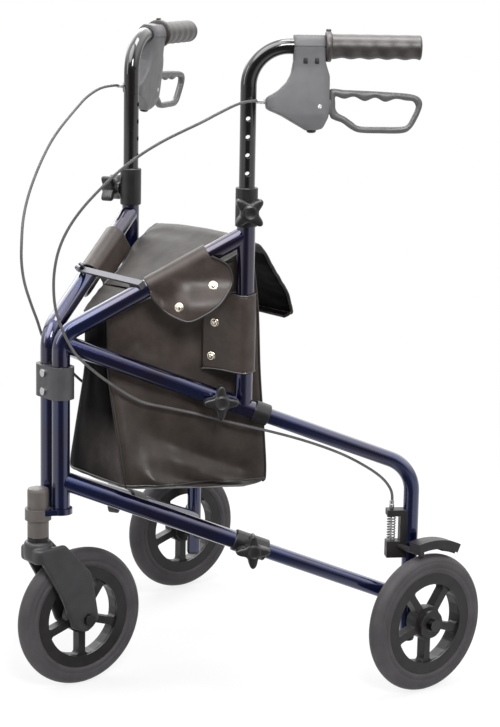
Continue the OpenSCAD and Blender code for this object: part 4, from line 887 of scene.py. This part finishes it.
def panel_rise(s, v, i):
    """Outward rise of the front or back panel, from its bulge and a wave."""
    bulge = BACK_BULGE if i else FRONT_BULGE
    bulge *= sin(pi * s) * sin(pi * min(1, v * 1.1))
    return bulge + PANEL_WAVE * noise.noise(Vector((3 * s, 5 * v, 9.0 + i)))


def bag_ring(row, v, inset=0.0, folds=1.0):
    """A ring of the bag at a row: front, left side, back and right side, with round corners."""
    y0, y1 = BAG_Y + row[0] * BAG_L + inset, BAG_Y + row[1] * BAG_L - inset
    w0, w1 = row[2] * BAG_W / 2 - inset, row[3] * BAG_W / 2 - inset
    z0, z1 = BAG_Z + row[4] * BAG_H, BAG_Z + row[5] * BAG_H
    quad = [Vector(p) for p in ((-w0, y0), (w0, y0), (w1, y1), (-w1, y1))]
    front = FRONT_CORNER + FRONT_CORNER_MORE * (1 - v) ** 1.5
    reach = (front, front, BACK_CORNER, BACK_CORNER)
    ring = []
    for i, steps in enumerate(EDGE_STEPS):
        a, b, after = quad[i], quad[(i + 1) % 4], quad[(i + 2) % 4]
        along = (b - a).normalized()
        out = Vector((along.y, -along.x))
        corner = reach[(i + 1) % 4]
        start, end = a + along * reach[i], b - along * corner
        for k in range(steps + 1):
            s = k / steps
            rise = fold_rise(s if i == 1 else 1 - s, v, 5.0 * i) if i % 2 else panel_rise(s, v, i)
            ring.append(start.lerp(end, s) + out * folds * rise)
        leave = b + (after - b).normalized() * corner
        for k in range(1, CORNER_STEPS):
            t = k / CORNER_STEPS
            ring.append(end * (1 - t) ** 2 + b * 2 * t * (1 - t) + leave * t * t)
    return [Vector((p.x, p.y, z0 + (z1 - z0) * (p.y - y0) / (y1 - y0))) for p in ring]


def raised(ring, rise):
    return [p + rise * UP for p in ring]


rows = smooth_path(BAG_ROWS, ROW_STEPS)
last = len(rows) - 1
outside = [bag_ring(row, i / last) for i, row in enumerate(rows)]
inside = [bag_ring(row, i / last, BAG_WALL, INNER_FOLDS) for i, row in enumerate(rows)]
sag = []
for k in range(SAG_RINGS):
    sag.append(raised(bag_ring(BAG_ROWS[0], 0.0, SAG_INSET + SAG_STEP * k), -SAG_DROP * k))
shell = sag[::-1] + outside + [raised(inside[-1], RIM_RISE)] + inside[LINING_ROW:][::-1]
bag = bag_piece("bag_body", rings_mesh(shell), VINYL)
# The front faces take the near-black vinyl, partly painted shade
bag.data.materials.append(SHADE_VINYL)
for f in bag.data.polygons:
    f.material_index = int(f.normal.y < FRONT_FACING and f.center.y < (BAG_Y + FRONT_DEPTH) * MM)
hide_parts("bag")

# Piping on the bag's upright edges, round its foot and round its rim

PIPING_R, RIM_PIPING_R, LID_PIPING_R, PIPING_SIDES = 2.0, 2.4, 2.2, 10
# The rows where the upright piping starts and where the foot's piping lies
PIPING_ROW, FOOT_ROW = 12, 18
mark = -(CORNER_STEPS // 2)
for name, steps in zip(("near_front", "near_back", "far_back", "far_front"), EDGE_STEPS):
    mark += steps + CORNER_STEPS
    path = [ring[mark] for ring in outside[PIPING_ROW:]]
    bag_piece(f"bag_piping_{name}", rings_mesh(tube(path, PIPING_R, PIPING_SIDES)), PIPING)
for name, level, radius in (("foot", FOOT_ROW, PIPING_R), ("rim", last, RIM_PIPING_R)):
    cord = tube(outside[level], radius, PIPING_SIDES, UP, True)
    bag_piece(f"bag_piping_{name}", rings_mesh(cord, loop=True), PIPING)

# Lid and the bag's top ahead of it: rows of shares along the bag, of its height and width, and thickness

LID_ROWS = [
    (0.29, 0.7835, 0.42, 4.0), (0.5, 0.843, 0.49, 6.5), (0.72, 0.906, 0.7, 7.5), (0.9, 0.958, 0.79, 8.0),
    (0.98, 0.979, 0.8, 8.0), (1.05, 0.952, 0.8, 8.5), (1.12, 0.89, 0.8, 9.0), (1.2, 0.832, 0.8, 9.0),
    (1.265, 0.78, 0.8, 9.0), (1.315, 0.715, 0.8, 8.0), (1.314, 0.697, 0.79, 7.0), (1.306, 0.679, 0.72, 5.0),
]
FRONT_ROWS = [
    (0.0, 0.7, 0.21, 4.0), (0.1, 0.729, 0.29, 5.0), (0.2, 0.757, 0.36, 5.0), (0.285, 0.781, 0.425, 4.0),
]
LID_LIFT, FRONT_LIFT, LEAF_WAVE = 5.0, 3.0, 1.4
LEAF_SIDES, LEAF_SQUARE, LEAF_PADDING = 40, 0.45, 0.8
# The lid's rear flap starts here along the bag
REAR_FLAP = 1.07


def leaf(rows, lift, steps):
    """A padded leaf along rows of (along, height, width, thickness), crowned across by lift mm."""
    path = smooth_path(rows, steps)
    last = len(path) - 1
    rings = []
    for i, row in enumerate(path):
        a, b = path[max(i - 1, 0)], path[min(i + 1, last)]
        run = Vector(((b[0] - a[0]) * BAG_L, (b[1] - a[1]) * BAG_H)).normalized()
        up = Vector((-run.y, run.x))
        w, thick = row[2] * BAG_W / 2, row[3]
        end = min(1.0, (0.15 + i) / 3, (0.15 + last - i) / 3) ** 0.5
        ring = []
        for c, s in circle(LEAF_SIDES):
            x = w * squared(c, LEAF_SQUARE)
            h = thick / 2 * (1 + end * squared(s, LEAF_PADDING))
            h += lift * (1 - (x / w) ** 2) + LEAF_WAVE * noise.noise(Vector((0.02 * x, 0.25 * i, 4)))
            ring.append(Vector((x, BAG_Y + row[0] * BAG_L + up.x * h, BAG_Z + row[1] * BAG_H + up.y * h)))
        rings.append(ring)
    return rings


rings = leaf(LID_ROWS, LID_LIFT, steps=8)
lid = bag_piece("bag_cover", rings_mesh(rings), LID_VINYL, "bag_lid")
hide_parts("bag_lid")
# The rear flap's inner face takes the near-black vinyl as painted shade
lid.data.materials.append(SHADE_VINYL)
flap_y = (BAG_Y + REAR_FLAP * BAG_L) * MM
for f in lid.data.polygons:
    f.material_index = int(f.center.y > flap_y and f.normal.y + f.normal.z < 0)
middle = LEAF_SIDES // 2
rim = [r[0] for r in rings] + rings[-1][1:middle] + [r[middle] for r in rings][::-1]
bag_piece("bag_cover_piping", rings_mesh(tube(rim, LID_PIPING_R, PIPING_SIDES)), PIPING, "bag_lid")
bag_piece("bag_top_front", rings_mesh(leaf(FRONT_ROWS, FRONT_LIFT, steps=6)), LID_VINYL)

# Sheets of vinyl on the side frames

WRAP_R, SHEET_T = 14.6, 2.4
# How much a stud's place prefers a point further out
OUTWARD = 4


def evenly(points, count):
    """Points at even distances along a path."""
    run = [0.0]
    for a, b in zip(points, points[1:]):
        run.append(run[-1] + (b - a).length)
    at = np.linspace(0, run[-1], count)
    axes = [[q[k] for q in points] for k in range(len(points[0]))]
    return [Vector(p) for p in zip(*(np.interp(at, run, axis) for axis in axes))]


def eased(t):
    """Zero to one with a straight middle and soft ends."""
    t = max(0.0, min(1.0, t))
    return t - 0.08 * sin(2 * pi * t)


def cloth(name, grid):
    """A sheet on each side from a grid of points in a side frame's own directions, with rounded edges."""
    rows, cols = len(grid), len(grid[0])
    corners = [r * cols + c for r in range(rows - 1) for c in range(cols - 1)]
    faces = [(a, a + 1, a + cols + 1, a + cols) for a in corners]
    points = [p for row in grid for p in row]
    made = both_sides(name, (points, faces), VINYL, "bag_vinyl", "frame", sharp=60)
    for ob, (label, _) in zip(made, SIDES):
        thick = ob.modifiers.new("thick", "SOLIDIFY")
        thick.thickness, thick.offset = SHEET_T * MM, 0
        ob.modifiers.new("round", "SUBSURF").levels = 1
        settled(ob)
    return made


def surface_at(grid, u, z):
    """The outermost point of a grid close to a place along the frame and its normal."""
    best = None
    for r in range(1, len(grid) - 1):
        for c in range(1, len(grid[0]) - 1):
            p = grid[r][c]
            gap = (p.y - u) ** 2 + (p.z - z) ** 2 - OUTWARD * p.x
            if best is None or gap < best[0]:
                way = (grid[r + 1][c] - grid[r - 1][c]).cross(grid[r][c + 1] - grid[r][c - 1]).normalized()
                best = (gap, p, way if way.x > 0 else -way)
    return best[1:]


# Side flaps over the upper tubes: lower edge along the frame and height, and ends of the top

FLAP_EDGE = [
    (122, 572), (129, 562), (143, 548.5), (156, 542), (174, 537), (194.5, 545.5), (215, 560), (230, 580),
    (234.5, 594), (229, 611), (217, 620), (206, 625),
]
FLAP_START, FLAP_END = 120.0, 203.0
FLAP_COLUMNS, ARC_STEPS, HANG_STEPS = 44, 12, 18
# Points behind the tube: outward, and down from its axis
TAIL = [(-21.0, 24.0), (-18.8, 16.0), (-16.6, 8.0)]
# How far the lower part stands out, and where it starts to: along the frame, run, height and fall
FLARE, FLARE_U, FLARE_RUN, FLARE_Z, FLARE_FALL = 16.0, 138.0, 36.0, 596.0, 46.0
FLAP_SPREAD, FLAP_HOLLOW, FLAP_WAVE = 1.5, 2.0, 1.2
FLAP_FLAT, FLAP_PIPING_R = (118, 165), 1.9


def flap_column(i, edge):
    """Points of the flap from the bag over the tube and down to its edge."""
    share = i / (FLAP_COLUMNS - 1)
    u = FLAP_START + (FLAP_END - FLAP_START) * share
    axis = Vector((u, UPPER_Z + u * tan(UPPER_SLOPE)))
    down = Vector((sin(UPPER_SLOPE), -cos(UPPER_SLOPE)))
    column = [Vector((off, *(axis + down * drop))) for off, drop in TAIL]
    for k in range(ARC_STEPS + 1):
        a = pi * (k / ARC_STEPS - 0.5)
        column.append(Vector((WRAP_R * sin(a), *(axis - down * WRAP_R * cos(a)))))
    for k in range(1, HANG_STEPS + 1):
        h = k / HANG_STEPS
        p = axis.lerp(edge, h)
        flare = eased((p.x - FLARE_U) / FLARE_RUN) * eased((FLARE_Z - p.y) / FLARE_FALL)
        off = WRAP_R + FLAP_SPREAD * h + FLARE * flare - FLAP_HOLLOW * sin(pi * h) * (1 - flare)
        off += FLAP_WAVE * noise.noise(Vector((6 * share, 3 * h, 2.0)))
        column.append(Vector((off, *p)))
    return column


edge = evenly(smooth_path(FLAP_EDGE, steps=8), FLAP_COLUMNS)
flap = [flap_column(i, p) for i, p in enumerate(edge)]
for ob, (label, _) in zip(cloth("side_flap", flap), SIDES):
    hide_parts(f"{label}_bag_flap")
hem = rings_mesh(tube([c[-1] for c in flap], FLAP_PIPING_R, PIPING_SIDES))
both_sides("flap_piping", hem, PIPING, "bag_vinyl", "frame")

# Straps round the uprights: heights, reach along the bag and lean towards it

STRAP_FOOT, STRAP_TOP, STRAP_REACH, STRAP_LEAN = 462.0, 570.0, 58.0, radians(33.8)
REACH_STEPS, WRAP_STEPS, STRAP_ROWS = 12, 20, 18
STRAP_BULGE, STRAP_WAVE, STRAP_WAVE_STEP = 1.6, 1.2, 0.35
HEM_R, HEM_SIDES = 1.7, 8
# The strap's end behind the upright, outward and along the frame
STRAP_END = [(-15.6, 247), (-17.6, 240), (-19.6, 232), (-21.4, 224)]
lean_c, lean_s = cos(STRAP_LEAN), sin(STRAP_LEAN)
start, away = Vector((WRAP_R * lean_c, UPRIGHT_U - WRAP_R * lean_s)), Vector((-lean_s, -lean_c))
route = [start + away * STRAP_REACH * (1 - k / REACH_STEPS) for k in range(REACH_STEPS)]
for k in range(WRAP_STEPS + 1):
    a = -STRAP_LEAN + (pi + STRAP_LEAN) * k / WRAP_STEPS
    route.append(Vector((WRAP_R * cos(a), UPRIGHT_U + WRAP_R * sin(a))))
route += [Vector(p) for p in STRAP_END]
strap = []
for i, p in enumerate(route):
    column = []
    for k in range(STRAP_ROWS + 1):
        h = k / STRAP_ROWS
        bulge = STRAP_BULGE * noise.noise(Vector((0.05 * p.y, 2.4 * h, 7.0))) if i < REACH_STEPS else 0.0
        z = STRAP_FOOT + (STRAP_TOP - STRAP_FOOT) * h + STRAP_WAVE * sin(STRAP_WAVE_STEP * i)
        column.append(Vector((p.x + bulge, p.y, z)))
    strap.append(column)
cloth("upright_strap", strap)
hems = [rings_mesh(tube([c[level] for c in strap], HEM_R, HEM_SIDES, UP)) for level in (0, -1)]
both_sides("strap_hem", joined(*hems), PIPING, "bag_vinyl", "frame")

# Press studs: profile, places along the frame and height, and how far they stand out

STUD = [
    (6.6, -0.6), (6.7, 0.3), (6.2, 1.0), (5.0, 1.5), (4.2, 1.3), (3.9, 1.6), (3.4, 2.4), (2.0, 2.9),
    (0.3, 3.0),
]
STUD_PLACES = ((flap, 161, 556), (flap, 207, 586), (strap, 211, 532), (strap, 210, 482))
STUD_OUT = 1.2
for k, place in enumerate(STUD_PLACES):
    at, way = surface_at(*place)
    stud = lathe(STUD, at + way * STUD_OUT, way, steps=32)
    both_sides(f"press_stud_{k + 1}", stud, SNAP, "steel", "frame")
